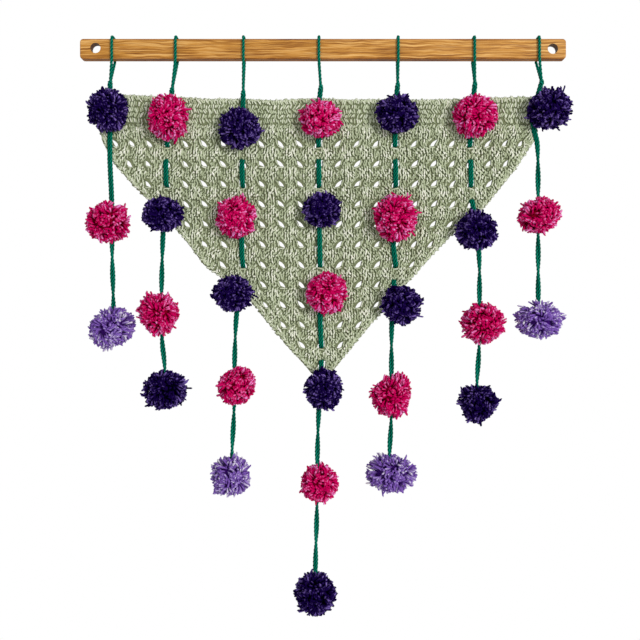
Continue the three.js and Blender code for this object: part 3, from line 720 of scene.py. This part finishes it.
def ground_mesh():
    bm = bmesh.new()
    bmesh.ops.create_grid(bm, x_segments=GROUND_COLUMNS * GROUND_STEPS, y_segments=GROUND_ROWS * GROUND_STEPS,
                          size=0.5)
    middle_row = GROUND_FIRST_ROW + GROUND_ROWS / 2
    gone = []
    for vert in bm.verts:
        column = round(vert.co.x * GROUND_COLUMNS * GROUND_STEPS) / GROUND_STEPS
        row = round((vert.co.y * GROUND_ROWS + middle_row) * GROUND_STEPS) / GROUND_STEPS
        near = round(column), round(row)
        side = -1 if near[0] < 0 else 1
        a, b = side * (column - near[0]), row - near[1]
        vert.co = (column, row, 0)
        if is_gap(*near) and max(abs(a), abs(b)) < 1.5 / GROUND_STEPS:
            if a == b == 0:
                gone.append(vert)
            else:
                dx, dy = gap_outline(side, (a - b) / 2, (a + b) / 2, wider(*near))
                vert.co = (near[0] + dx, near[1] + dy, 0)
    bmesh.ops.delete(bm, geom=gone, context="VERTS")
    left, right = (-EDGE_AT, 0, 0), (EDGE_AT, 0, 0)
    for point, normal in (
        (right, (1, 0, 0)), (right, (1, 1, 0)), (left, (-1, 0, 0)), (left, (-1, 1, 0)),
        ((0, TOP_ROW, 0), (0, -1, 0)), ((0, TIP_ROW, 0), (0, 1, 0)),
    ):
        bmesh.ops.bisect_plane(bm, geom=[*bm.verts, *bm.edges, *bm.faces], plane_co=point, plane_no=normal,
                               clear_outer=True)
    for vert in bm.verts:
        vert.co = on_cloth(vert.co.x, vert.co.y)
    bmesh.ops.recalc_face_normals(bm, faces=bm.faces)
    mesh = finished("ground", bm)
    return numbered(mesh, [GROUND_SHADE] * len(mesh.vertices))


ground = link("crochet_ground", ground_mesh(), sage)
thick = ground.modifiers.new("thickness", "SOLIDIFY")
thick.thickness = GROUND_THICK
thick.offset = 0
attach(ground, "root")
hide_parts("cloth")
print(f"ground with {len(ground.data.polygons)} faces on each side")

# %% [markdown]
# Pompoms. Each real one is a bundle of yarn tied round its middle and cut to a ball, so what shows is the cut
# ends. Each end is a blunt stub with painted shade: dark at its root, lightest near its tip, a little darker
# on its cut face, as shade where one looks into the fibres, and lighter on its outer crest, a painted
# highlight. Neighbours lean alike, so the ball has locks and partings, and its middle shows dark between
# them.

# %% One cut end, and the surface that the ends reach
CUT_PROFILE = [(-0.5, 0), (0.05, 0.42), (0.42, 0.44), (0.5, 0)]
# Along a cut end and across it, its depth paints shade and highlight: painted shade at the root and on the
# cut face, a painted highlight on the outer crest.
CUT_SHADE = [(-0.5, 0.0), (0.05, 0.8), (0.42, 1.0), (0.5, 0.6)]
CUT_BOW = 0.7
SIDE_SHADE = 0.75
CREST_SHADE = 0.55
BODY_SHARE = 0.87
OUTSIDE = 0.06
NEAR_CORD = 0.85
IN_CORD_ROOM = 0.6

cut_end = lathe("cut_end", CUT_PROFILE, 4, bow=CUT_BOW)
shades = []
for vert in cut_end.vertices:
    crest = vert.co.z - CUT_BOW * (1 - 4 * vert.co.x ** 2)
    shades.append(between(CUT_SHADE, vert.co.x) * (SIDE_SHADE + CREST_SHADE * crest))
numbered(cut_end, shades)


def surface_of(node):
    """The middle of a solid, and how far out its surface lies in any direction.

    Near the top and the bottom a ray can fall into the room for the cord. A plain ball serves there."""
    tree = BVHTree.FromObject(bpy.data.objects[node], bpy.context.evaluated_depsgraph_get())
    low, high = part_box(node)
    middle, half = (low + high) / 2, (high - low) / 2

    def reaches(way):
        ball = BODY_SHARE / math.sqrt(sum((way[k] / half[k]) ** 2 for k in range(3)))
        found = tree.ray_cast(middle + OUTSIDE * way, -way)[0]
        if found is None or (abs(way.z) > NEAR_CORD and (found - middle).length < IN_CORD_ROOM * ball):
            return ball
        return (found - middle).length

    return middle, reaches


print(f"a cut end has {len(cut_end.polygons)} faces")

# %% [markdown]
# The ends stand on a ball in a spiral, which spaces them evenly. Each then leans by a smooth field that is
# the same for its neighbours, and a little by itself. The lavender yarn is looser, so its ends start deeper
# and lean further. No end stands behind its solid, so a pompom lies flat where it lies on the cloth. Some
# pompoms aren't round: SHAPES tells how many corners they have, where one points and how far it stands out.

# %% How the ends lean, and how far they reach
ENDS = 700
END_THICK = 0.0022
END_UNEVEN = (0.85, 1.2)
CORE_SHARE = 0.7
END_STARTS = 0.6
GOLDEN_ANGLE = math.pi * (3 - math.sqrt(5))
LOCK_SIZE = 2.3
LOCK_LEAN = 0.72
OWN_LEAN = 0.045
OWN_LENGTH = 0.02
OWN_BOW = 0.12
BOW_OUTWARDS = 0.4
MEAN_SHARE = 1.07
LUMP_SIZE = 2.4
LUMP_HEIGHT = 0.09
TUFT_SIZE = 5
TUFT_FROM = 0.3
TUFT_HEIGHT = 0.45
FIELD_OF = {"lock": 300, "lump": 500, "tuft": 700}
FIELDS_APART = Vector((31.4, 17.2, 43.1))
LOOSE = {"lavender_yarn": 1.5}
SIDE_TONE_TOP = 1.15
FRONT_SHADE = 0.55
OFF_THE_BACK = 0.0003
SHAPES = {
    "pompom_1_3": (2, 40, 0.08),
    "pompom_2_3": (3, -95, 0.05),
    "pompom_3_4": (2, 50, 0.08),
    "pompom_3_5": (4, 50, 0.07),
    "pompom_5_4": (3, -65, 0.09),
    "pompom_6_2": (3, 90, 0.06),
    "pompom_6_4": (3, -100, 0.1),
    "pompom_7_2": (2, 35, 0.06),
}


def flow(at):
    """A direction that changes smoothly from place to place: one noise, read at three places."""
    return Vector([noise.noise(at + k * FIELDS_APART) for k in range(3)])


def corner_share(node, way):
    """How much further or less far the ends reach in a direction, in a pompom that isn't round."""
    corners, toward, amount = SHAPES.get(node, (0, 0, 0))
    turn = math.atan2(way.z, way.x) - math.radians(toward)
    return amount * (1 - way.y ** 2) * math.cos(corners * turn)


def spread(draw, amount):
    """Three random numbers around 0, as a vector."""
    return Vector([draw.gauss(0, amount) for _ in range(3)])


print(f"{ENDS} ends on a pompom, {len(SHAPES)} pompoms with corners")

# %% [markdown]
# One pompom after another. Its ends are one piece, and a small core behind them closes the ball. The core has
# a depth of 0, so it is painted in the dye's shade colour: painted shade between the ends. Each pompom draws
# its random numbers from a seed of its own, so that a change to one leaves the others as they are.

# %% Pompoms
def pompom(node, seed):
    middle, reaches = surface_of(node)
    loose = LOOSE.get(slots[node], 1)
    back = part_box(node)[1].y - OFF_THE_BACK
    draw = random.Random(seed)
    laid = []
    for i in range(ENDS):
        height = 1 - 2 * (i + 0.5) / ENDS
        flat = math.sqrt(1 - height * height)
        turn = i * GOLDEN_ANGLE
        foot = Vector((flat * math.cos(turn), height, flat * math.sin(turn)))
        lock, lump, tuft = (field * middle for field in FIELD_OF.values())
        lean = loose * LOCK_LEAN * flow(LOCK_SIZE * foot + lock)
        way = (foot + lean + spread(draw, loose * OWN_LEAN)).normalized()
        share = MEAN_SHARE + LUMP_HEIGHT * noise.noise(LUMP_SIZE * foot + lump) + draw.gauss(0, OWN_LENGTH)
        share += TUFT_HEIGHT * max(noise.noise(TUFT_SIZE * foot + tuft) - TUFT_FROM, 0)
        share += corner_share(node, way)
        tip = middle + share * reaches(way) * way
        tip.y = min(tip.y, back)
        root = middle + END_STARTS / loose ** 0.5 * reaches(foot) * foot
        out = BOW_OUTWARDS * foot - lean + spread(draw, OWN_BOW)
        # The tone differs at random. Ends that face forwards are painted darker: painted shade where one
        # looks into the ball.
        tone_and_shade = draw.random() * (SIDE_TONE_TOP - FRONT_SHADE * max(-foot.y, 0) ** 3)
        laid.append((lying(root, tip, END_THICK * draw.uniform(*END_UNEVEN), out), tone_and_shade))
    piece = lay(f"ends_{node}", cut_end, laid, dyes[slots[node]])
    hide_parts(node)
    core_bm = bmesh.new()
    bmesh.ops.create_icosphere(core_bm, subdivisions=3, radius=1)
    for vert in core_bm.verts:
        vert.co = middle + CORE_SHARE * reaches(vert.co.normalized()) * vert.co
    core_mesh = finished(f"core_{node}", core_bm)
    # A depth of 0 paints the core in shade.
    core = link(f"core_{node}", numbered(core_mesh, [0.0] * len(core_mesh.vertices)), dyes[slots[node]])
    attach(core, "root")


for number, node in enumerate(sorted(name for name in slots if name.startswith("pompom"))):
    pompom(node, number)

# %% [markdown]
# The cords. Each is one length of green yarn, doubled over the bar, knotted under it and run down as two
# strands side by side. A cord is told by where it crosses the bar, where its knot lies and its route. The
# route is the list of stops that the solids follow: "over" is in front of the cloth, "in" and "out" pass
# through it and "hang" is free of it.

# %% The routes of the cords
BAR_HEIGHT = 0.019
BAR_DEPTH = 0.0095
KNOT_Y = -0.004
HANG_Y = -0.002
BESIDE_CLOTH = 0.0035
THROUGH_HALF = 0.0016
THROUGH_SHIFT = {"in": -0.0012, "out": 0.0042}
CORD_END_BELOW_MIDDLE = 0.004
CORDS = [
    (-0.198, (-0.2001, -0.0228), [
        ("over", -0.2, -0.04), ("in", -0.1996, -0.051), ("out", -0.1998, -0.065),
        ("over", -0.2, -0.078), ("over", -0.1999, -0.088), ("over", -0.1998, -0.1),
        ("hang", -0.199, -0.131), ("hang", -0.199, -0.176), ("hang", -0.1974, -0.23)]),
    (-0.1383, (-0.1419, -0.0291), [
        ("over", -0.1435, -0.038), ("in", *place(-8, 0)), ("out", *place(-8, 1)),
        ("in", *place(-8, 2)), ("out", *place(-8, 3)), ("over", -0.1495, -0.153),
        ("hang", -0.151, -0.168), ("hang", -0.1523, -0.2155), ("hang", -0.1523, -0.2625),
        ("hang", -0.1488, -0.289)]),
    (-0.0746, (-0.075, -0.0321), [
        ("over", -0.0753, -0.041), ("in", *place(-4, 0)), ("out", *place(-4, 1)),
        ("in", *place(-4, 2)), ("out", *place(-4, 3)), ("over", -0.0767, -0.173),
        ("in", *place(-4, 6)), ("out", *place(-4, 7)), ("over", -0.0795, -0.228),
        ("hang", -0.082, -0.243), ("hang", -0.0835, -0.286), ("hang", -0.0835, -0.329),
        ("hang", -0.0859, -0.369)]),
    (-0.0038, (-0.002, -0.0271), [
        ("over", -0.0036, -0.04), ("in", *place(0, 0)), ("out", *place(0, 1)),
        ("in", *place(0, 2)), ("out", *place(0, 3)), ("over", -0.0033, -0.162),
        ("in", *place(0, 6)), ("out", *place(0, 7)), ("over", -0.0028, -0.2435),
        ("in", *place(0, 10)), ("out", *place(0, 11)), ("over", -0.0025, -0.306),
        ("hang", -0.0042, -0.333), ("hang", -0.0055, -0.3765), ("hang", -0.0055, -0.421),
        ("hang", -0.0073, -0.478)]),
    (0.0707, (0.0703, -0.0247), [
        ("over", 0.0685, -0.04), ("in", *place(4, 0)), ("out", *place(4, 1)),
        ("in", *place(4, 2)), ("out", *place(4, 3)), ("over", 0.0656, -0.172),
        ("in", *place(4, 6)), ("out", *place(4, 7)), ("over", 0.0653, -0.234),
        ("hang", 0.0646, -0.253), ("hang", 0.0645, -0.292), ("hang", 0.0645, -0.341),
        ("hang", 0.0626, -0.3685)]),
    (0.1423, (0.1429, -0.0238), [
        ("over", 0.1415, -0.038), ("in", *place(8, 0)), ("out", *place(8, 1)),
        ("in", *place(8, 2)), ("out", *place(8, 3)), ("over", 0.1434, -0.152),
        ("hang", 0.1476, -0.184), ("hang", 0.1475, -0.225), ("hang", 0.1475, -0.271),
        ("hang", 0.145, -0.302)]),
    (0.203, (0.2056, -0.0219), [
        ("over", 0.201, -0.038), ("in", 0.199, -0.049), ("out", 0.1968, -0.061),
        ("over", 0.1992, -0.07), ("hang", 0.2026, -0.08), ("hang", 0.2028, -0.126),
        ("hang", 0.2028, -0.169), ("hang", 0.2029, -0.225)]),
]


def cord_stops(knot, route, end_z):
    """The points of one cord from its knot down to its end in the last pompom."""
    stops = [Vector((knot[0], KNOT_Y, knot[1]))]
    for word, x, z in route:
        front, back = drape(x, z) - BESIDE_CLOTH, drape(x, z) + BESIDE_CLOTH
        if word == "over":
            stops.append(Vector((x, front, z)))
        elif word == "hang":
            stops.append(Vector((x, HANG_Y, z)))
        else:
            first, second = (front, back) if word == "in" else (back, front)
            z += THROUGH_SHIFT[word]
            stops.append(Vector((x, first, z + THROUGH_HALF)))
            stops.append(Vector((x, second, z - THROUGH_HALF)))
    stops.append(Vector((stops[-1].x, HANG_Y, end_z)))
    return stops


def softened(points, rounds=2):
    """Cuts each corner of a line a few times, which leaves a smooth line through the same places."""
    for _ in range(rounds):
        cut = [points[0]]
        for a, b in zip(points, points[1:]):
            cut += [a.lerp(b, 0.25), a.lerp(b, 0.75)]
        points = [*cut, points[-1]]
    return points


def spaced(points, step):
    """Points along a line, one step apart."""
    result, left = [points[0]], step
    for a, b in zip(points, points[1:]):
        long = (b - a).length
        at = left
        while at < long:
            result.append(a.lerp(b, at / long))
            at += step
        left = at - long
    return result


print(f"{len(CORDS)} cords with {sum(len(route) for _, _, route in CORDS)} stops")

# %% [markdown]
# The yarn of a cord is a curve with a three-lobed section that turns as it goes, like the plies of a real
# yarn. A curve with a tilt at each point does this by itself, and a mesh made from it keeps the shape.

# %% Twisted yarn along a line
YARN_STEP = 0.001
PLIES = 3
PLY_PITCH = 0.0036
VALLEY = 0.8


def ply_section(radius):
    """A closed outline with one lobe for each ply of the yarn."""
    outline = bpy.data.curves.new("plies", "CURVE")
    spline = outline.splines.new("POLY")
    spline.points.add(2 * PLIES - 1)
    for i, point in enumerate(spline.points):
        angle = math.pi * i / PLIES
        out = radius * (1 if i % 2 else VALLEY)
        point.co = (out * math.cos(angle), out * math.sin(angle), 0, 1)
    spline.use_cyclic_u = True
    section = bpy.data.objects.new("plies", outline)
    scene.collection.objects.link(section)
    return section


def twisted(points, radius, tone_and_shade):
    """A mesh of twisted yarn along a line."""
    section = ply_section(radius)
    curve = bpy.data.curves.new("yarn", "CURVE")
    curve.dimensions = "3D"
    curve.bevel_mode = "OBJECT"
    curve.bevel_object = section
    curve.use_fill_caps = True
    line = spaced(points, YARN_STEP)
    spline = curve.splines.new("POLY")
    spline.points.add(len(line) - 1)
    for i, (point, at) in enumerate(zip(spline.points, line)):
        point.co = (*at, 1)
        point.tilt = 2 * math.pi * i * YARN_STEP / (PLIES * PLY_PITCH)
    yarn = bpy.data.objects.new("yarn", curve)
    scene.collection.objects.link(yarn)
    graph = bpy.context.evaluated_depsgraph_get()
    mesh = bpy.data.meshes.new_from_object(yarn.evaluated_get(graph))
    for thing in (yarn, section):
        bpy.data.objects.remove(thing)
    # Each lobe point of the section gets a depth of 1 and each valley point 0: a painted highlight on the
    # plies, painted shade between them.
    numbered(mesh, [1.0 if i % 2 else 0.0 for i in range(len(mesh.vertices))])
    mesh.attributes["tone_and_shade"].data.foreach_set("value", [tone_and_shade] * len(mesh.vertices))
    return mesh


print(f"the yarn turns once in {1000 * PLIES * PLY_PITCH:.1f} mm")

# %% [markdown]
# Putting a cord together. Two strands run down side by side, and turn slowly about each other once they hang
# free of the cloth. A third goes up and over the bar, and a short coil is the knot in which all of them meet.

# %% Cords
PAIR_OFFSET = 0.00115
HALF_TURN = 0.035
PAIR_TONES = {-1: 0.0, 1: 0.6}
STRAND_RADIUS = 0.0015
LOOP_RADIUS = 0.00155
LOOP_BEND = 0.0024
LOOP_TONE = 0.5
OFF_THE_BAR = 0.0003
KNOT_TURNS = 2.5
KNOT_RADIUS = 0.0011
KNOT_HIGH = 0.0038
KNOT_POINTS = 24
KNOT_TONE = 0.6


def loop_points(bar_x, knot):
    """One strand up the front of the bar, over it and down its back, from the knot to the knot."""
    side = BAR_DEPTH / 2 + OFF_THE_BAR + LOOP_RADIUS
    top = BAR_HEIGHT + OFF_THE_BAR + LOOP_RADIUS
    end = Vector((knot[0], KNOT_Y, knot[1]))
    points = [end, Vector((bar_x, -side, 0))]
    for middle, start in ((LOOP_BEND - side, math.pi), (side - LOOP_BEND, math.pi / 2)):
        for i in range(5):
            angle = start - i * math.pi / 8
            y = middle + LOOP_BEND * math.cos(angle)
            points.append(Vector((bar_x, y, top - LOOP_BEND + LOOP_BEND * math.sin(angle))))
    return points + [Vector((bar_x, side, 0)), end]


def knot_points(knot):
    """A short coil from the top of the knot to its bottom."""
    points = []
    for i in range(KNOT_POINTS):
        share = i / (KNOT_POINTS - 1)
        turn = 2 * math.pi * KNOT_TURNS * share
        x, y = knot[0] + KNOT_RADIUS * math.cos(turn), KNOT_Y + KNOT_RADIUS * math.sin(turn)
        points.append(Vector((x, y, knot[1] + KNOT_HIGH * (0.5 - share))))
    return softened(points, 1)


def cord(number, bar_x, knot, route):
    last = max(node for node in slots if node.startswith(f"pompom_{number}_"))
    low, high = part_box(last)
    stops = softened(cord_stops(knot, route, (low.z + high.z) / 2 - CORD_END_BELOW_MIDDLE))
    free_from = next(z for word, _, z in route if word == "hang")
    bm = bmesh.new()
    for side, tone_and_shade in PAIR_TONES.items():
        line = []
        for point in spaced(stops, 2 * YARN_STEP):
            turn = math.pi * max(free_from - point.z, 0) / HALF_TURN
            line.append(point + side * PAIR_OFFSET * Vector((math.cos(turn), math.sin(turn), 0)))
        bm.from_mesh(twisted(line, STRAND_RADIUS, tone_and_shade))
    bm.from_mesh(twisted(loop_points(bar_x, knot), LOOP_RADIUS, LOOP_TONE))
    bm.from_mesh(twisted(knot_points(knot), STRAND_RADIUS, KNOT_TONE))
    bmesh.ops.remove_doubles(bm, verts=bm.verts, dist=1e-6)
    bmesh.ops.recalc_face_normals(bm, faces=bm.faces)
    mesh = finished(f"yarn_cord_{number}", bm)
    mesh.polygons.foreach_set("use_smooth", [True] * len(mesh.polygons))
    piece = link(f"yarn_cord_{number}", mesh, dyes["green_yarn"])
    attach(piece, "root")
    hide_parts(f"cord_{number}")
    return len(mesh.polygons)


for number, (bar_x, knot, route) in enumerate(CORDS, 1):
    print(f"cord {number}: {cord(number, bar_x, knot, route)} faces")

# %% [markdown]
# Oak. Its grain is noise that is drawn out along the bar and bent a little by a coarser noise. Three patterns
# lie over each other: streaks of brown, fine dark pores and large, slightly darker patches. The long edges
# are painted darker too, darkest on the top and bottom faces: painted shade, which darkens the underside. A
# fourth pattern gives the surface fine ridges, and the tint paints shade inside the holes.

# %% Oak
WHITE = (1, 1, 1)
STREAKS = {"scale": 680, "stretch": 28, "detail": 4, "distortion": 0.4}
STREAK_COLOURS = (0.36, (0.34, 0.13, 0.013)), (0.5, (0.62, 0.29, 0.05)), (0.64, (0.84, 0.5, 0.17))
PORES = {"scale": 1000, "stretch": 40, "detail": 2, "distortion": 0.2}
PORE_COLOURS = (0.38, (0.42, 0.27, 0.13)), (0.5, WHITE)
PATCHES = {"scale": 35, "stretch": 4, "detail": 2}
PATCH_COLOURS = (0.35, (0.86, 0.8, 0.7)), (0.6, WHITE)
PAINTED_EDGE_SHADE = (0.8, WHITE), (1.0, (0.6, 0.42, 0.25))
RIDGES = {"scale": 1500, "stretch": 30, "detail": 2}
RIDGE_RELIEF = 0.0002
GRAIN_ROUGHNESS = 0.62
BEND_SCALE = 45
BEND = (0, 0, 0.0035)


def bent_places(tree, places):
    """Places moved up and down a little by a coarse noise."""
    moved = tree.nodes.new("ShaderNodeVectorMath")
    moved.operation = "MULTIPLY_ADD"
    for socket, term in zip(moved.inputs, (speckle(tree, places, BEND_SCALE, 2)["Color"], BEND, places)):
        feed(tree, socket, term)
    return moved.outputs["Vector"]


def grain(tree, places, scale, stretch, detail, distortion=0.0):
    """A noise drawn out along the bar."""
    drawn_out = tree.nodes.new("ShaderNodeMapping")
    drawn_out.inputs["Scale"].default_value = (1 / stretch, 1, 1)
    tree.links.new(places, drawn_out.inputs["Vector"])
    return speckle(tree, drawn_out.outputs["Vector"], scale, detail, GRAIN_ROUGHNESS, distortion)["Fac"]


def darker(tree, colour, by, amount):
    """A colour multiplied by another one."""
    mixed = tree.nodes.new("ShaderNodeMix")
    mixed.data_type = "RGBA"
    mixed.blend_type = "MULTIPLY"
    for socket, term in {"Factor": amount, "A": colour, "B": by}.items():
        feed(tree, mixed.inputs[socket], term)
    return mixed.outputs["Result"]


def oak_material(name, tint):
    material, tree, shader = matte(name, 0.5)
    shader.inputs["Specular IOR Level"].default_value = 0.25
    places = object_places(tree)
    bent = bent_places(tree, places)
    apart = tree.nodes.new("ShaderNodeSeparateXYZ")
    tree.links.new(places, apart.inputs["Vector"])
    off_middle = reckon(tree, "ABSOLUTE", reckon(tree, "SUBTRACT", apart.outputs["Z"], BAR_HEIGHT / 2))
    to_edge = reckon(tree, "MULTIPLY", off_middle, 2 / BAR_HEIGHT)
    colour = ramp(tree, grain(tree, bent, **STREAKS), *STREAK_COLOURS)
    colour = darker(tree, colour, ramp(tree, grain(tree, bent, **PATCHES), *PATCH_COLOURS), 0.8)
    colour = darker(tree, colour, ramp(tree, grain(tree, bent, **PORES), *PORE_COLOURS), 0.75)
    # Painted shade towards the top and bottom edges.
    colour = darker(tree, colour, ramp(tree, to_edge, *PAINTED_EDGE_SHADE), 0.9)
    colour = darker(tree, colour, (*tint, 1), 1.0)
    tree.links.new(colour, shader.inputs["Base Color"])
    bumped(tree, shader, grain(tree, bent, **RIDGES), 0.3, RIDGE_RELIEF)
    return material


oak = oak_material("oiled_oak", WHITE)
# The inside of each hole is oak tinted darker: painted shade in the holes.
hole_shade = oak_material("hole_shade_oak", (0.25, 0.18, 0.15))
print(f"oak with {len(oak.node_tree.nodes)} nodes")

# %% [markdown]
# The bar: a straight piece of oiled oak with eased edges and a hole near each end. A cube is stretched to its
# size, its end corners are rounded first and all its edges eased after that, and a cylinder cuts each hole.
# The faces that lie within a hole's radius of its middle are its inside, and get oak darkened by painted
# shade.

# %% The bar
BAR_LENGTH = 0.4572
END_RADIUS = 0.0033
EDGE_EASE = 0.0012
HOLES = [(-0.2138, 0.0102), (0.216, 0.0095)]
HOLE_RADIUS = 0.0048
INSIDE_WITHIN = 1.02


def bar_mesh():
    bm = bmesh.new()
    bmesh.ops.create_cube(bm, size=1)
    bmesh.ops.scale(bm, verts=bm.verts, vec=(BAR_LENGTH, BAR_DEPTH, BAR_HEIGHT))
    bmesh.ops.translate(bm, verts=bm.verts, vec=(0, 0, BAR_HEIGHT / 2))
    corners = [e for e in bm.edges if abs((e.verts[0].co - e.verts[1].co).y) > BAR_DEPTH / 2]
    bmesh.ops.bevel(bm, geom=corners, offset=END_RADIUS, segments=6, profile=0.5, affect="EDGES", material=-1)
    rims = [e for e in bm.edges if abs(e.verts[0].co.y - e.verts[1].co.y) < 1e-6]
    bmesh.ops.bevel(bm, geom=rims, offset=EDGE_EASE, segments=3, profile=0.5, affect="EDGES", material=-1)
    return finished("oak_bar", bm)


def hole_cutter(x, z):
    bm = bmesh.new()
    turn = Matrix.Translation((x, 0, z)) @ Matrix.Rotation(math.pi / 2, 4, "X")
    bmesh.ops.create_cone(bm, cap_ends=True, segments=40, radius1=HOLE_RADIUS, radius2=HOLE_RADIUS,
                          depth=2 * BAR_DEPTH, matrix=turn)
    cutter = bpy.data.objects.new("cutter", finished("cutter", bm))
    scene.collection.objects.link(cutter)
    return cutter


bar = link("oak_bar", bar_mesh(), oak)
for x, z in HOLES:
    cutter = hole_cutter(x, z)
    cut = bar.modifiers.new("hole", "BOOLEAN")
    cut.operation = "DIFFERENCE"
    cut.object = cutter
    graph = bpy.context.evaluated_depsgraph_get()
    bored = bpy.data.meshes.new_from_object(bar.evaluated_get(graph))
    bar.modifiers.clear()
    bar.data = bored
    bpy.data.objects.remove(cutter)
bar.data.materials.append(hole_shade)
for face in bar.data.polygons:
    if any(math.hypot(face.center.x - x, face.center.z - z) < INSIDE_WITHIN * HOLE_RADIUS for x, z in HOLES):
        face.material_index = 1
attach(bar, "root")
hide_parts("bar")
print(f"bar with {len(bar.data.polygons)} faces")
